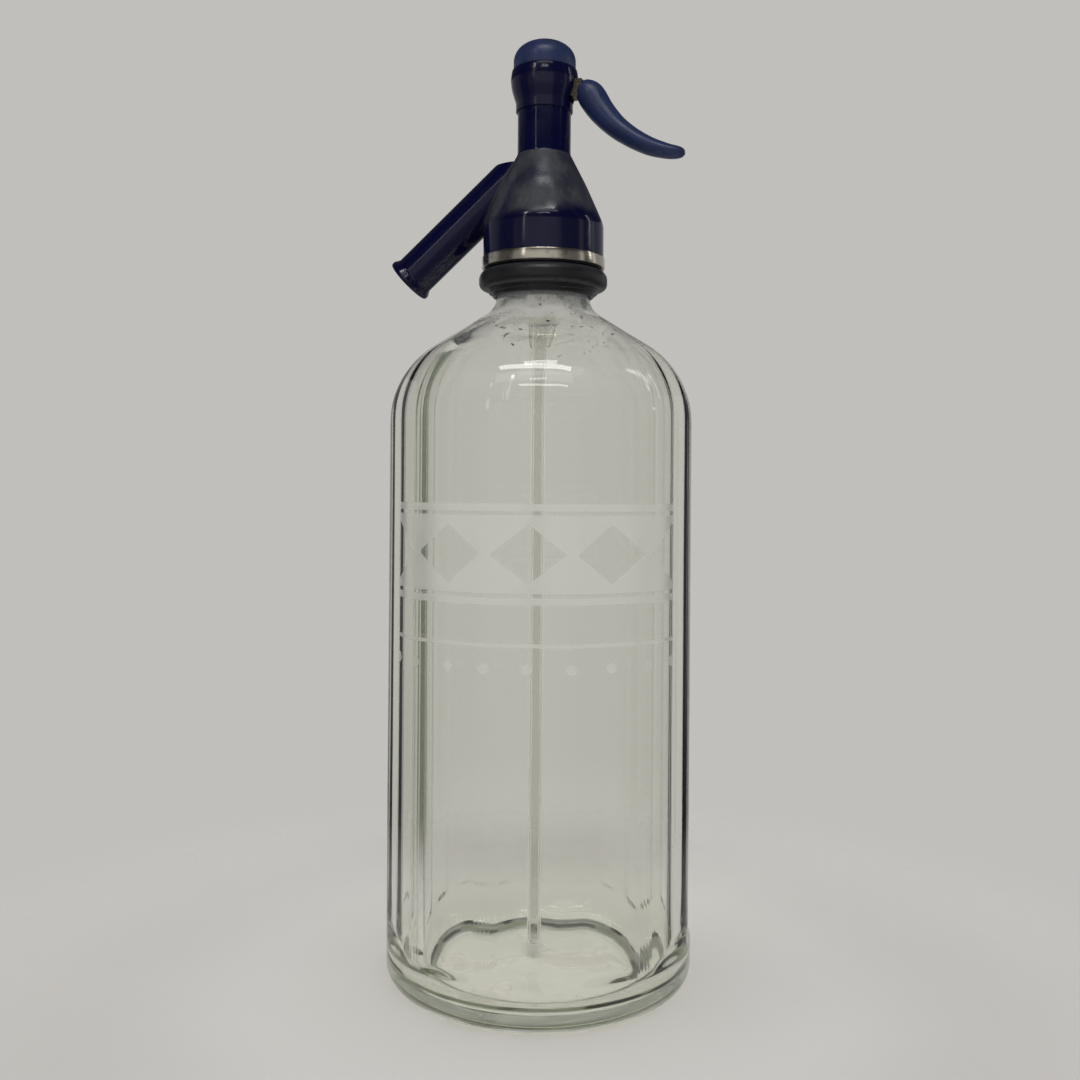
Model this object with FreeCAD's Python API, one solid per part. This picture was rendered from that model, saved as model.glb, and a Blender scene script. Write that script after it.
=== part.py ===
import FreeCAD, Part
import math
import os

# A soda siphon: a thick glass bottle with twelve soft panels, closed by a moulded head that holds
# a spring-loaded valve, a lever and a slanted spout. Sizes are in millimetres. The origin is the
# bottle's axis on the surface it stands on, +Z is up and +X is the way the lever reaches. Every
# height called a rise is measured from the foot of the clamp collar, so the head keeps its place on
# a bottle of another height or width.

# ---- fits ---------------------------------------------------------------------------------------
RUNNING_GAP = 0.05
SLIDING_GAP = 0.3
THREAD_GAP = 0.1
SEAM_GAP = 0.1
OVERLAP = 1.0
LARGE = 400.0
NEARLY_ALL = 0.98

# ---- bottle -------------------------------------------------------------------------------------
PANEL_COUNT = 12
PANEL_TURN_DEG = -4.5
BODY_ACROSS_PANELS = 99.0
CORNER_TRIM = 0.5
WALL = 5.4
SHOULDER_TOP_Z = 201.0
SHOULDER_SLOPE_DEG = 33.0
SHOULDER_RADIUS = 31.0
NECK_RADIUS = 15.5
NECK_BLEND = 8.0
NECK_LENGTH = 3.52
NECK_BORE_RADIUS = 9.5
NECK_PANEL_FADE = 2.0
HEEL_RADIUS = 9.0
FLOOR_THICKNESS = 8.0
FLOOR_DOME = 1.5
PUSH_UP = 3.0
FOOT_RING_WIDTH = 4.5
FOOT_RING_ROUND = 1.5
GROOVE_DEPTH = 1.5
GROOVE_LENGTH = 4.6
GROOVE_RAMP = 1.0
GROOVE_ROUND = 0.5
BEAD_PROUD = 0.3
BEAD_HEIGHT = 6.7
BEAD_ROUND = 0.8
LIP_ROUND = 1.6
CAVITY_DROP = 0.9

# ---- clamping of the head to the bottle ---------------------------------------------------------
COLLAR_BEAD_PROUD = 1.3
COLLAR_BEAD_HEIGHT = 8.8
COLLAR_BEAD_ROUND = 3.6
COLLAR_TOP_ROUND = 3.0
COLLAR_EDGE = 0.5
COLLAR_FLANGE = 2.4
COLLAR_SHOULDER_INSET = 0.6
COLLAR_SHOULDER_HEIGHT = 0.6
COLLAR_UNDERCUT = 1.6
COLLAR_SLEEVE_EDGE = 0.4
COLLAR_SLEEVE_WALL = 1.5
COLLAR_SLEEVE_HEIGHT = 7.8
COLLAR_RECESS_WIDTH = 1.2
COLLAR_RECESS_DEPTH = 1.0
BUSH_FLANGE_WIDTH = 1.5
BUSH_SPLIT = 0.4
SEAL_THICKNESS = 2.0
HOLDER_FLANGE = 1.7

# ---- dip tube and its holder --------------------------------------------------------------------
TUBE_RADIUS = 3.5
TUBE_WALL = 1.4
TUBE_FLOOR_GAP = 2.3
TUBE_GLAND_WALL = 0.75
HOLDER_WALL = 1.95
HOLDER_REACH = 34.0
HOLDER_TAPER = 9.0
HOLDER_TAPER_ROUND = 2.0
HOLDER_EDGE = 0.3
HOLDER_SPIGOT_RADIUS = 5.5
HOLDER_SPIGOT_HEIGHT = 5.8
HOLDER_SPIGOT_ROOM = 0.2

# ---- head casing --------------------------------------------------------------------------------
SKIRT_WALL = 1.5
SKIRT_TOP_RISE = 24.3
SKIRT_ROUND = 8.0
CONE_BREAK_RADIUS = 14.4
CONE_BREAK_RISE = 37.2
CONE_BREAK_ROUND = 30.0
STEM_RADIUS = 8.95
STEM_FOOT_RISE = 47.8
STEM_FOOT_ROUND = 1.0
BALL_SKIRT_RISE = 62.1
BALL_SKIRT_RADIUS = 9.58
BALL_SKIRT_HEIGHT = 2.9
BALL_SKIRT_EDGE = 0.4
BALL_RADIUS = 11.75
BALL_MIDDLE_RISE = 71.8
BALL_ROUND = 14.0
BALL_WAIST_ROUND = 4.0
BALL_RIM_RADIUS = 10.9
BALL_RIM_RISE = 76.0
BALL_RIM_EDGE = 0.25

# ---- valve in the stem --------------------------------------------------------------------------
SEAT_BUSH_RADIUS = 4.4
SEAT_BUSH_HEIGHT = 8.0
SEAT_BORE_RADIUS = 2.2
SEAT_FLANGE_HEIGHT = 1.2
SEAT_LIP_WIDTH = 0.8
SEAT_LIP_HEIGHT = 0.6
SEAT_EDGE = 0.3
TUBE_TOP_ROOM = 1.5
CHAMBER_RADIUS = 5.5
CHAMBER_FLOOR_RISE = 37.4
CHAMBER_HEIGHT = 14.0
WASHER_RADIUS = 4.0
WASHER_THICKNESS = 2.5
WASHER_STANDOUT = 1.0
CUP_WALL = 0.65
CUP_WEB = 0.9
CUP_SOCKET = 2.5
CUP_SOCKET_WALL = 1.0
CUP_RIM_EDGE = 0.2
CUP_TOP_EDGE = 0.3
CUP_SHOULDER_ROUND = 0.6
CUP_WAIST_ROUND = 0.4
SCREW_RADIUS = 1.0
SCREW_HEAD_RADIUS = 1.65
SCREW_HEAD_HEIGHT = 1.0
SCREW_GRIP = 3.0
SCREW_SLOT = 0.5
SCREW_HEAD_EDGE = 0.3
SCREW_TIP_EDGE = 0.2
GLAND_LEDGE = 0.6
GLAND_THICKNESS = 3.5
GLAND_LIP = 1.4
GLAND_LIP_ROUND = 0.5
GLAND_NUT_HEIGHT = 6.9
GLAND_NUT_SLOT = 1.2
SPINDLE_RADIUS = 1.75
SPINDLE_NECK_RADIUS = 1.2
SPINDLE_NECK_RISE = 63.4
SPINDLE_NECK_EDGE = 0.3
LIFT_FLANGE_RADIUS = 3.6
LIFT_FLANGE_HEIGHT = 1.1
LIFT_FLANGE_EDGE = 0.2
SPRING_GUIDE_RADIUS = 1.9
SPRING_GUIDE_HEIGHT = 5.5
SPRING_GUIDE_EDGE = 0.8

# ---- lever, its pin and the block that carries it -----------------------------------------------
BLOCK_LEDGE = 1.2
BLOCK_STEP_RISE = 67.4
BLOCK_TOP_RISE = 73.0
BLOCK_SLOT_FLOOR_RISE = 64.8
BLOCK_WELL_RADIUS = 4.3
PIN_X = 6.0
PIN_RISE = 69.4
PIN_RADIUS = 1.2
PIN_END_ROOM = 0.15
ARM_WIDTH = 5.8
ARM_HEIGHT = 5.6
ARM_MIDDLE_RISE = 69.2
TINE_TIP_RADIUS = 1.2
TINE_EDGE = 0.8
FORK_ROOT_WALL = 1.2
ARM_TOP_ROUND = 1.5
TANG_WIDTH = 4.0
TANG_HALF = 1.1
TANG_END_ROUND = 0.8
TANG_BEND_ROUND = 3.0
TANG_BEND_STATION = 2
TANG_END_STATION = 4
TANG_ABOVE_BEND = (1.7, 0.9)
TANG_BELOW_BEND = (-2.0, -2.6)
ARM_REACH_X = 13.4
ARM_LOWER_REACH_X = 12.6
ARM_LOWER_ROUND = 1.0
SLOT_ROOM_ABOVE = 0.7
SLOT_ROOM_BELOW = 1.7

# The grip's middle line: x, rise, half thickness and half width at each station from hub to tip.
GRIP_LINE = [
    (12.6, 70.6, 1.6, 2.2),
    (13.6, 69.6, 3.5, 3.8),
    (15.9, 66.9, 4.7, 4.7),
    (19.6, 61.4, 4.4, 5.0),
    (24.2, 56.3, 3.8, 5.1),
    (29.5, 52.2, 3.3, 5.1),
    (35.5, 48.8, 2.9, 4.8),
    (41.5, 46.7, 2.4, 4.1),
    (45.6, 46.0, 1.8, 2.9),
    (47.6, 45.9, 0.7, 1.2),
]

# ---- return spring and dome cap -----------------------------------------------------------------
SPRING_MEAN_RADIUS = 3.0
SPRING_WIRE_RADIUS = 0.4
SPRING_TURNS = 6.0
CAP_INSET = 0.45
CAP_HEIGHT = 9.8
CAP_SHOULDER_HEIGHT = 6.0
CAP_SHOULDER_ROUND = 6.1
CAP_CROWN_RADIUS = 5.4
CAP_CROWN_ROUND = 9.2
CAP_CROWN_WALL = 2.0
CAP_WELL_STEP = 1.2
CAP_WELL_RADIUS = 4.7
CAP_SPIGOT_WALL = 1.9
CAP_SPIGOT_GAP = 0.3
CAP_WELL_ROUND = 0.8
CAP_WELL_TOP_ROUND = 0.3

# ---- band and spout -----------------------------------------------------------------------------
BAND_THICKNESS = 0.45
BAND_HEIGHT = 3.8
BAND_EDGE = 0.15
SPOUT_SLOPE_DEG = 41.7
SPOUT_MOUTH_X = -48.3
SPOUT_MOUTH_RISE = 7.2
SPOUT_RADIUS = 7.15
SPOUT_BORE_RADIUS = 4.5
SPOUT_LIP_PROUD = 1.05
SPOUT_LIP_LENGTH = 1.4
SPOUT_FLARE_LENGTH = 3.2
SPOUT_FLARE_ROUND = 2.0
SPOUT_LIP_EDGE = 0.3
SPOUT_MOUTH_EDGE = 0.5
SPOUT_MOUTH_ROUND = 0.8
SPOUT_ROOT_TOP_RISE = 44.7
SPOUT_JOINT = 22.0
SPIGOT_WALL = 1.0
SPIGOT_LENGTH = 5.8
SPIGOT_EDGE = 0.3
PORT_RADIUS = 2.0
SPOUT_SEAL_BORE = 2.6
SPOUT_SEAL_THICKNESS = 1.2

# ---- places that follow from the sizes above ----------------------------------------------------
Z_AXIS = FreeCAD.Vector(0, 0, 1)
ORIGIN = FreeCAD.Vector(0, 0, 0)
HALF_ACROSS = BODY_ACROSS_PANELS / 2
CORNER_RADIUS = HALF_ACROSS / math.cos(math.pi / PANEL_COUNT) - CORNER_TRIM
SLOPE = math.tan(math.radians(SHOULDER_SLOPE_DEG))
CAVITY_RADIUS = HALF_ACROSS - WALL
FOOT_RADIUS = CORNER_RADIUS - HEEL_RADIUS
COLLAR_BOTTOM_Z = SHOULDER_TOP_Z + (HALF_ACROSS - NECK_RADIUS) * SLOPE + NECK_LENGTH
GROOVE_RADIUS = NECK_RADIUS - GROOVE_DEPTH
BUSH_FOOT_Z = COLLAR_BOTTOM_Z + COLLAR_FLANGE
BEAD_FOOT_Z = BUSH_FOOT_Z + GROOVE_LENGTH + GROOVE_RAMP
BEAD_RADIUS = NECK_RADIUS + BEAD_PROUD
LIP_Z = BEAD_FOOT_Z + BEAD_HEIGHT
HOLDER_FLANGE_Z = LIP_Z + SEAL_THICKNESS
HEAD_SHOULDER_Z = HOLDER_FLANGE_Z + HOLDER_FLANGE
COLLAR_SHOULDER_Z = COLLAR_BOTTOM_Z + COLLAR_BEAD_HEIGHT
SKIRT_BOTTOM_Z = COLLAR_SHOULDER_Z + COLLAR_SHOULDER_HEIGHT
BUSH_OUTER_RADIUS = NECK_RADIUS + BUSH_FLANGE_WIDTH
SLEEVE_BORE_RADIUS = BUSH_OUTER_RADIUS + THREAD_GAP
SLEEVE_RADIUS = SLEEVE_BORE_RADIUS + COLLAR_SLEEVE_WALL
SKIRT_BORE_RADIUS = SLEEVE_RADIUS + THREAD_GAP
SKIRT_RADIUS = SKIRT_BORE_RADIUS + SKIRT_WALL
COLLAR_BEAD_RADIUS = SKIRT_RADIUS + COLLAR_BEAD_PROUD
COLLAR_SHOULDER_RADIUS = SKIRT_RADIUS - COLLAR_SHOULDER_INSET
TUBE_BOTTOM_Z = FLOOR_THICKNESS + TUBE_FLOOR_GAP
HOLDER_BORE_RADIUS = TUBE_RADIUS + TUBE_GLAND_WALL + 2 * RUNNING_GAP
HOLDER_RADIUS = HOLDER_BORE_RADIUS + HOLDER_WALL
HOLDER_SPIGOT_Z = HEAD_SHOULDER_Z + HOLDER_SPIGOT_HEIGHT
SKIRT_TOP_Z = COLLAR_BOTTOM_Z + SKIRT_TOP_RISE
CONE_BREAK_Z = COLLAR_BOTTOM_Z + CONE_BREAK_RISE
STEM_FOOT_Z = COLLAR_BOTTOM_Z + STEM_FOOT_RISE
BALL_SKIRT_Z = COLLAR_BOTTOM_Z + BALL_SKIRT_RISE
BALL_MIDDLE_Z = COLLAR_BOTTOM_Z + BALL_MIDDLE_RISE
BALL_RIM_Z = COLLAR_BOTTOM_Z + BALL_RIM_RISE
CHAMBER_FLOOR_Z = COLLAR_BOTTOM_Z + CHAMBER_FLOOR_RISE
SEAT_FOOT_Z = CHAMBER_FLOOR_Z - SEAT_BUSH_HEIGHT
TUBE_TOP_Z = SEAT_FOOT_Z - TUBE_TOP_ROOM
SEAT_LIP_Z = CHAMBER_FLOOR_Z + SEAT_FLANGE_HEIGHT + SEAT_LIP_HEIGHT
WASHER_TOP_Z = SEAT_LIP_Z + WASHER_THICKNESS
CUP_RADIUS = WASHER_RADIUS + RUNNING_GAP + CUP_WALL
CUP_TOP_Z = WASHER_TOP_Z + CUP_WEB + CUP_SOCKET
GLAND_FOOT_Z = CHAMBER_FLOOR_Z + CHAMBER_HEIGHT
GLAND_NUT_Z = GLAND_FOOT_Z + GLAND_THICKNESS
GLAND_RADIUS = CHAMBER_RADIUS + GLAND_LEDGE
GLAND_BORE_RADIUS = GLAND_RADIUS + THREAD_GAP
SPINDLE_NECK_Z = COLLAR_BOTTOM_Z + SPINDLE_NECK_RISE
BLOCK_FOOT_RADIUS = GLAND_RADIUS + BLOCK_LEDGE
BLOCK_RADIUS = BLOCK_FOOT_RADIUS + BLOCK_LEDGE
BLOCK_FOOT_Z = GLAND_NUT_Z + GLAND_NUT_HEIGHT + THREAD_GAP
BLOCK_STEP_Z = COLLAR_BOTTOM_Z + BLOCK_STEP_RISE
BLOCK_TOP_Z = COLLAR_BOTTOM_Z + BLOCK_TOP_RISE
BLOCK_SLOT_FLOOR_Z = COLLAR_BOTTOM_Z + BLOCK_SLOT_FLOOR_RISE
PIN_Z = COLLAR_BOTTOM_Z + PIN_RISE
ARM_MIDDLE_Z = COLLAR_BOTTOM_Z + ARM_MIDDLE_RISE
ARM_TOP_Z = ARM_MIDDLE_Z + ARM_HEIGHT / 2
ARM_BOTTOM_Z = ARM_MIDDLE_Z - ARM_HEIGHT / 2
TINE_TOP_Z = ARM_MIDDLE_Z + TINE_TIP_RADIUS
LIFT_FLANGE_Z = TINE_TOP_Z + SLIDING_GAP
SPRING_FOOT_Z = LIFT_FLANGE_Z + LIFT_FLANGE_HEIGHT
BLOCK_SLOT_HALF = ARM_WIDTH / 2 + SLIDING_GAP
BALL_BORE_RADIUS = BLOCK_RADIUS + THREAD_GAP
CAP_RADIUS = BALL_RIM_RADIUS - CAP_INSET
CAP_TOP_Z = BALL_RIM_Z + CAP_HEIGHT
SPRING_TOP_Z = CAP_TOP_Z - CAP_CROWN_WALL
SLOPE_SIN = math.sin(math.radians(SPOUT_SLOPE_DEG))
SLOPE_COS = math.cos(math.radians(SPOUT_SLOPE_DEG))
SPOUT_LENGTH = -SPOUT_MOUTH_X / SLOPE_COS
SPOUT_LIP_RADIUS = SPOUT_RADIUS + SPOUT_LIP_PROUD
SPIGOT_RADIUS = SPOUT_BORE_RADIUS + SPIGOT_WALL
SPOUT_MOUTH_Z = COLLAR_BOTTOM_Z + SPOUT_MOUTH_RISE
SPOUT_ROOT_TOP_Z = COLLAR_BOTTOM_Z + SPOUT_ROOT_TOP_RISE
SPOUT_START_Z = SPOUT_MOUTH_Z + SPOUT_LENGTH * SLOPE_SIN
SPOUT_DIRECTION = FreeCAD.Vector(-SLOPE_COS, 0, -SLOPE_SIN)
GRIP_STATIONS = [(x, COLLAR_BOTTOM_Z + rise, half, wide) for x, rise, half, wide in GRIP_LINE]


def at(x, z):
    """A point in the upright plane through the axis and the lever."""
    return FreeCAD.Vector(x, 0, z)


def rounded_edges(corners):
    """Lines and tangent arcs round a closed outline of (x, z, corner radius) corners."""
    points = [at(x, z) for x, z, _ in corners]
    arcs = []
    for i, (_, _, radius) in enumerate(corners):
        point = points[i]
        back = (points[i - 1] - point).normalize()
        ahead = (points[(i + 1) % len(points)] - point).normalize()
        if radius <= 0:
            arcs.append((point, None, point))
            continue
        half = back.getAngle(ahead) / 2
        inward = (back + ahead).normalize()
        reach = radius / math.tan(half)
        middle = point + inward * (radius / math.sin(half) - radius)
        arcs.append((point + back * reach, middle, point + ahead * reach))
    edges = []
    for i, (start, middle, end) in enumerate(arcs):
        if middle is not None:
            edges.append(Part.Arc(start, middle, end).toShape())
        following = arcs[(i + 1) % len(arcs)][0]
        if end.distanceToPoint(following) > 1e-6:
            edges.append(Part.LineSegment(end, following).toShape())
    return edges


def outline_face(corners):
    """The flat face inside a closed outline of (x, z, corner radius) corners."""
    return Part.Face(Part.Wire(rounded_edges(corners)))


def turned(corners):
    """A solid of revolution about the bottle's axis."""
    return outline_face(corners).revolve(ORIGIN, Z_AXIS, 360)


def ring(inner, outer, bottom, top):
    """A plain ring about the bottle's axis."""
    return turned([(inner, bottom, 0), (outer, bottom, 0), (outer, top, 0), (inner, top, 0)])


def disc(radius, bottom, top):
    """A plain cylinder on the bottle's axis."""
    return Part.makeCylinder(radius, top - bottom, at(0, bottom), Z_AXIS)


def block(x_range, y_half, z_range):
    """A box with its sides along the axes, centred across Y."""
    corner = FreeCAD.Vector(x_range[0], -y_half, z_range[0])
    return Part.makeBox(x_range[1] - x_range[0], 2 * y_half, z_range[1] - z_range[0], corner)


def plate(corners, y_half):
    """An outline in the upright plane, thickened evenly to both sides."""
    face = outline_face(corners)
    face.translate(FreeCAD.Vector(0, -y_half, 0))
    return face.extrude(FreeCAD.Vector(0, 2 * y_half, 0))


def along_spout(radius, start, end):
    """A cylinder on the spout's line, between two distances from the bottle's axis."""
    base = at(0, SPOUT_START_Z) + SPOUT_DIRECTION * start
    return Part.makeCylinder(radius, end - start, base, SPOUT_DIRECTION)


def turned_on_spout(corners):
    """A solid turned about the spout's line, from (distance along it, radius, corner radius)."""
    face = outline_face([(radius, distance, rounding) for distance, radius, rounding in corners])
    solid = face.revolve(ORIGIN, Z_AXIS, 360)
    turn = FreeCAD.Rotation(Z_AXIS, SPOUT_DIRECTION)
    solid.Placement = FreeCAD.Placement(at(0, SPOUT_START_Z), turn)
    return solid


def one_solid(shape):
    """The shape with its faces merged where they continue each other, as a single solid."""
    clean = shape.removeSplitter()
    return clean.Solids[0] if len(clean.Solids) == 1 else clean


# ---- the bottle and what closes it --------------------------------------------------------------


def bottle_panels():
    """Twelve flat panels that bend over the shoulder towards the neck and meet in ridges."""
    half = HALF_ACROSS
    neck = NECK_RADIUS + NECK_PANEL_FADE
    neck_z = SHOULDER_TOP_Z + (half - neck) * SLOPE
    outline = [
        (-half, 0, 0),
        (half, 0, 0),
        (half, SHOULDER_TOP_Z, SHOULDER_RADIUS),
        (neck, neck_z, NECK_BLEND),
        (neck, LIP_Z, 0),
        (-neck, LIP_Z, 0),
        (-neck, neck_z, NECK_BLEND),
        (-half, SHOULDER_TOP_Z, SHOULDER_RADIUS),
    ]
    slab = plate(outline, CORNER_RADIUS + OVERLAP)
    step = 360 / PANEL_COUNT
    body = slab.copy()
    body.rotate(ORIGIN, Z_AXIS, PANEL_TURN_DEG + step / 2)
    for i in range(1, PANEL_COUNT // 2):
        turned_slab = slab.copy()
        turned_slab.rotate(ORIGIN, Z_AXIS, PANEL_TURN_DEG + step / 2 + i * step)
        body = body.common(turned_slab)
    return body


def bottle_round():
    """The round form that trims the ridges, blends the neck and rolls the heel under."""
    neck_z = SHOULDER_TOP_Z + (HALF_ACROSS - NECK_RADIUS) * SLOPE - NECK_PANEL_FADE * SLOPE / 2
    return turned(
        [
            (0, PUSH_UP, 0),
            (FOOT_RADIUS - FOOT_RING_WIDTH, 0, FOOT_RING_ROUND),
            (CORNER_RADIUS, 0, HEEL_RADIUS),
            (CORNER_RADIUS, SHOULDER_TOP_Z + SLOPE, SHOULDER_RADIUS),
            (NECK_RADIUS, neck_z, NECK_BLEND),
            (NECK_RADIUS, BUSH_FOOT_Z, GROOVE_ROUND),
            (GROOVE_RADIUS, BUSH_FOOT_Z + GROOVE_RAMP, GROOVE_ROUND),
            (GROOVE_RADIUS, BEAD_FOOT_Z, 0),
            (BEAD_RADIUS, BEAD_FOOT_Z, BEAD_ROUND),
            (BEAD_RADIUS, LIP_Z, LIP_ROUND),
            (0, LIP_Z, 0),
        ]
    )


def bottle_cavity():
    """The round space inside the glass, open at the neck."""
    neck_z = SHOULDER_TOP_Z + (CAVITY_RADIUS - NECK_BORE_RADIUS) * SLOPE - CAVITY_DROP
    return turned(
        [
            (0, FLOOR_THICKNESS, 0),
            (CAVITY_RADIUS - HEEL_RADIUS, FLOOR_THICKNESS - FLOOR_DOME, 0),
            (CAVITY_RADIUS, FLOOR_THICKNESS - FLOOR_DOME, HEEL_RADIUS),
            (CAVITY_RADIUS, SHOULDER_TOP_Z - CAVITY_DROP, SHOULDER_RADIUS - WALL),
            (NECK_BORE_RADIUS, neck_z, NECK_BLEND),
            (NECK_BORE_RADIUS, LIP_Z + OVERLAP, 0),
            (0, LIP_Z + OVERLAP, 0),
        ]
    )


def bottle():
    body = bottle_panels().common(bottle_round())
    return one_solid(body.cut(bottle_cavity()))


def bottle_seal():
    outer = BEAD_RADIUS - BEAD_PROUD
    return ring(HOLDER_RADIUS + RUNNING_GAP, outer, LIP_Z, HOLDER_FLANGE_Z)


def split_bush(side):
    """Half of the split bush that grips the glass under its bead. side is 1 in front, -1 behind."""
    ramp_top = BUSH_FOOT_Z + GROOVE_RAMP + SLIDING_GAP
    whole = ring(GROOVE_RADIUS + RUNNING_GAP, BUSH_OUTER_RADIUS, ramp_top, BEAD_FOOT_Z)
    flange = ring(NECK_RADIUS + RUNNING_GAP, BUSH_OUTER_RADIUS, BUSH_FOOT_Z, ramp_top)
    half_space = Part.makeBox(
        LARGE, LARGE, LARGE, FreeCAD.Vector(-LARGE / 2, BUSH_SPLIT / 2, COLLAR_BOTTOM_Z)
    )
    half = whole.fuse(flange).common(half_space)
    if side > 0:
        half.rotate(ORIGIN, Z_AXIS, 180)
    return one_solid(half)


def clamp_collar():
    """The ring under the head: a round bead outside, a sleeve that screws into the skirt inside."""
    flange_bore = NECK_RADIUS + SLIDING_GAP
    sleeve_top = SKIRT_BOTTOM_Z + COLLAR_SLEEVE_HEIGHT
    undercut_radius = COLLAR_SHOULDER_RADIUS - COLLAR_UNDERCUT
    undercut_top = SKIRT_BOTTOM_Z - COLLAR_SHOULDER_HEIGHT / 2
    recess_inner = flange_bore + COLLAR_FLANGE / 2
    recess = ring(
        recess_inner,
        recess_inner + COLLAR_RECESS_WIDTH,
        COLLAR_BOTTOM_Z - OVERLAP,
        COLLAR_BOTTOM_Z + COLLAR_RECESS_DEPTH,
    )
    body = turned(
        [
            (flange_bore, COLLAR_BOTTOM_Z, COLLAR_EDGE),
            (COLLAR_BEAD_RADIUS, COLLAR_BOTTOM_Z, COLLAR_BEAD_ROUND),
            (COLLAR_BEAD_RADIUS, COLLAR_SHOULDER_Z, COLLAR_TOP_ROUND),
            (undercut_radius, COLLAR_SHOULDER_Z, 0),
            (undercut_radius, undercut_top, 0),
            (COLLAR_SHOULDER_RADIUS, undercut_top, 0),
            (COLLAR_SHOULDER_RADIUS, SKIRT_BOTTOM_Z, 0),
            (SLEEVE_RADIUS, SKIRT_BOTTOM_Z, 0),
            (SLEEVE_RADIUS, sleeve_top, COLLAR_SLEEVE_EDGE),
            (SLEEVE_BORE_RADIUS, sleeve_top, COLLAR_SLEEVE_EDGE),
            (SLEEVE_BORE_RADIUS, BUSH_FOOT_Z, 0),
            (flange_bore, BUSH_FOOT_Z, 0),
        ]
    )
    return one_solid(body.cut(recess))


# ---- the dip tube -------------------------------------------------------------------------------


def dip_tube():
    return ring(TUBE_RADIUS - TUBE_WALL, TUBE_RADIUS, TUBE_BOTTOM_Z, TUBE_TOP_Z)


def tube_gland():
    """The rubber sleeve that grips the tube inside its holder."""
    inner = TUBE_RADIUS + RUNNING_GAP
    bottom = HOLDER_FLANGE_Z - HOLDER_REACH + HOLDER_TAPER / 2
    return ring(inner, HOLDER_BORE_RADIUS - RUNNING_GAP, bottom, HEAD_SHOULDER_Z)


def tube_holder():
    """A sleeve with a tapered foot, a flange that sits on the seal and a spigot into the head."""
    foot_z = HOLDER_FLANGE_Z - HOLDER_REACH
    gland_foot_z = foot_z + HOLDER_TAPER / 2
    tube_bore = TUBE_RADIUS + RUNNING_GAP
    return turned(
        [
            (tube_bore, foot_z, 0),
            (tube_bore + TUBE_GLAND_WALL, foot_z, HOLDER_EDGE),
            (HOLDER_RADIUS, foot_z + HOLDER_TAPER, HOLDER_TAPER_ROUND),
            (HOLDER_RADIUS, HOLDER_FLANGE_Z, 0),
            (BEAD_RADIUS - BEAD_PROUD, HOLDER_FLANGE_Z, 0),
            (BEAD_RADIUS - BEAD_PROUD, HEAD_SHOULDER_Z, 0),
            (HOLDER_SPIGOT_RADIUS, HEAD_SHOULDER_Z, 0),
            (HOLDER_SPIGOT_RADIUS, HOLDER_SPIGOT_Z, HOLDER_EDGE),
            (tube_bore, HOLDER_SPIGOT_Z, 0),
            (tube_bore, HEAD_SHOULDER_Z, 0),
            (HOLDER_BORE_RADIUS, HEAD_SHOULDER_Z, 0),
            (HOLDER_BORE_RADIUS, gland_foot_z, 0),
            (tube_bore, gland_foot_z, 0),
        ]
    )


# ---- the head casing ----------------------------------------------------------------------------


def casing_outside(margin=0):
    """Bell, stem and ball as one full turned form, grown outwards by a margin."""
    profile = [
        (SKIRT_RADIUS, SKIRT_BOTTOM_Z, 0),
        (SKIRT_RADIUS, SKIRT_TOP_Z, SKIRT_ROUND),
        (CONE_BREAK_RADIUS, CONE_BREAK_Z, CONE_BREAK_ROUND),
        (STEM_RADIUS, STEM_FOOT_Z, STEM_FOOT_ROUND),
        (STEM_RADIUS, BALL_SKIRT_Z, 0),
        (BALL_SKIRT_RADIUS - BALL_SKIRT_EDGE / 2, BALL_SKIRT_Z, 0),
        (BALL_SKIRT_RADIUS, BALL_SKIRT_Z + BALL_SKIRT_EDGE, 0),
        (BALL_SKIRT_RADIUS, BALL_SKIRT_Z + BALL_SKIRT_HEIGHT, BALL_WAIST_ROUND),
        (BALL_RADIUS, BALL_MIDDLE_Z, BALL_ROUND),
        (BALL_RIM_RADIUS, BALL_RIM_Z, BALL_RIM_EDGE),
    ]
    grown = [(radius + margin, z, rounding) for radius, z, rounding in profile]
    return turned([(0, SKIRT_BOTTOM_Z, 0)] + grown + [(0, BALL_RIM_Z, 0)])


def casing_inside():
    """Every turned space inside the casing, from the skirt's thread up to the ball."""
    spigot_room_z = HOLDER_SPIGOT_Z + HOLDER_SPIGOT_ROOM
    spaces = [
        disc(SKIRT_BORE_RADIUS, SKIRT_BOTTOM_Z - OVERLAP, HEAD_SHOULDER_Z),
        disc(HOLDER_SPIGOT_RADIUS + RUNNING_GAP, HEAD_SHOULDER_Z - OVERLAP, spigot_room_z),
        disc(TUBE_RADIUS + RUNNING_GAP, HOLDER_SPIGOT_Z, SEAT_FOOT_Z + OVERLAP),
        disc(SEAT_BUSH_RADIUS, SEAT_FOOT_Z, CHAMBER_FLOOR_Z + OVERLAP),
        disc(CHAMBER_RADIUS, CHAMBER_FLOOR_Z, GLAND_FOOT_Z + OVERLAP),
        disc(GLAND_BORE_RADIUS, GLAND_FOOT_Z, BLOCK_FOOT_Z + OVERLAP),
        disc(BLOCK_FOOT_RADIUS + THREAD_GAP, BLOCK_FOOT_Z, BLOCK_STEP_Z + OVERLAP),
        disc(BALL_BORE_RADIUS, BLOCK_STEP_Z, BALL_RIM_Z + OVERLAP),
    ]
    hollow = spaces[0]
    for space in spaces[1:]:
        hollow = hollow.fuse(space)
    return hollow


def lever_slot():
    """The upright slot in the ball's wall that the lever's arm works in."""
    heights = (ARM_BOTTOM_Z - SLOT_ROOM_BELOW, ARM_TOP_Z + SLOT_ROOM_ABOVE)
    return block((BLOCK_WELL_RADIUS, BALL_RADIUS + OVERLAP), BLOCK_SLOT_HALF, heights)


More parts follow.
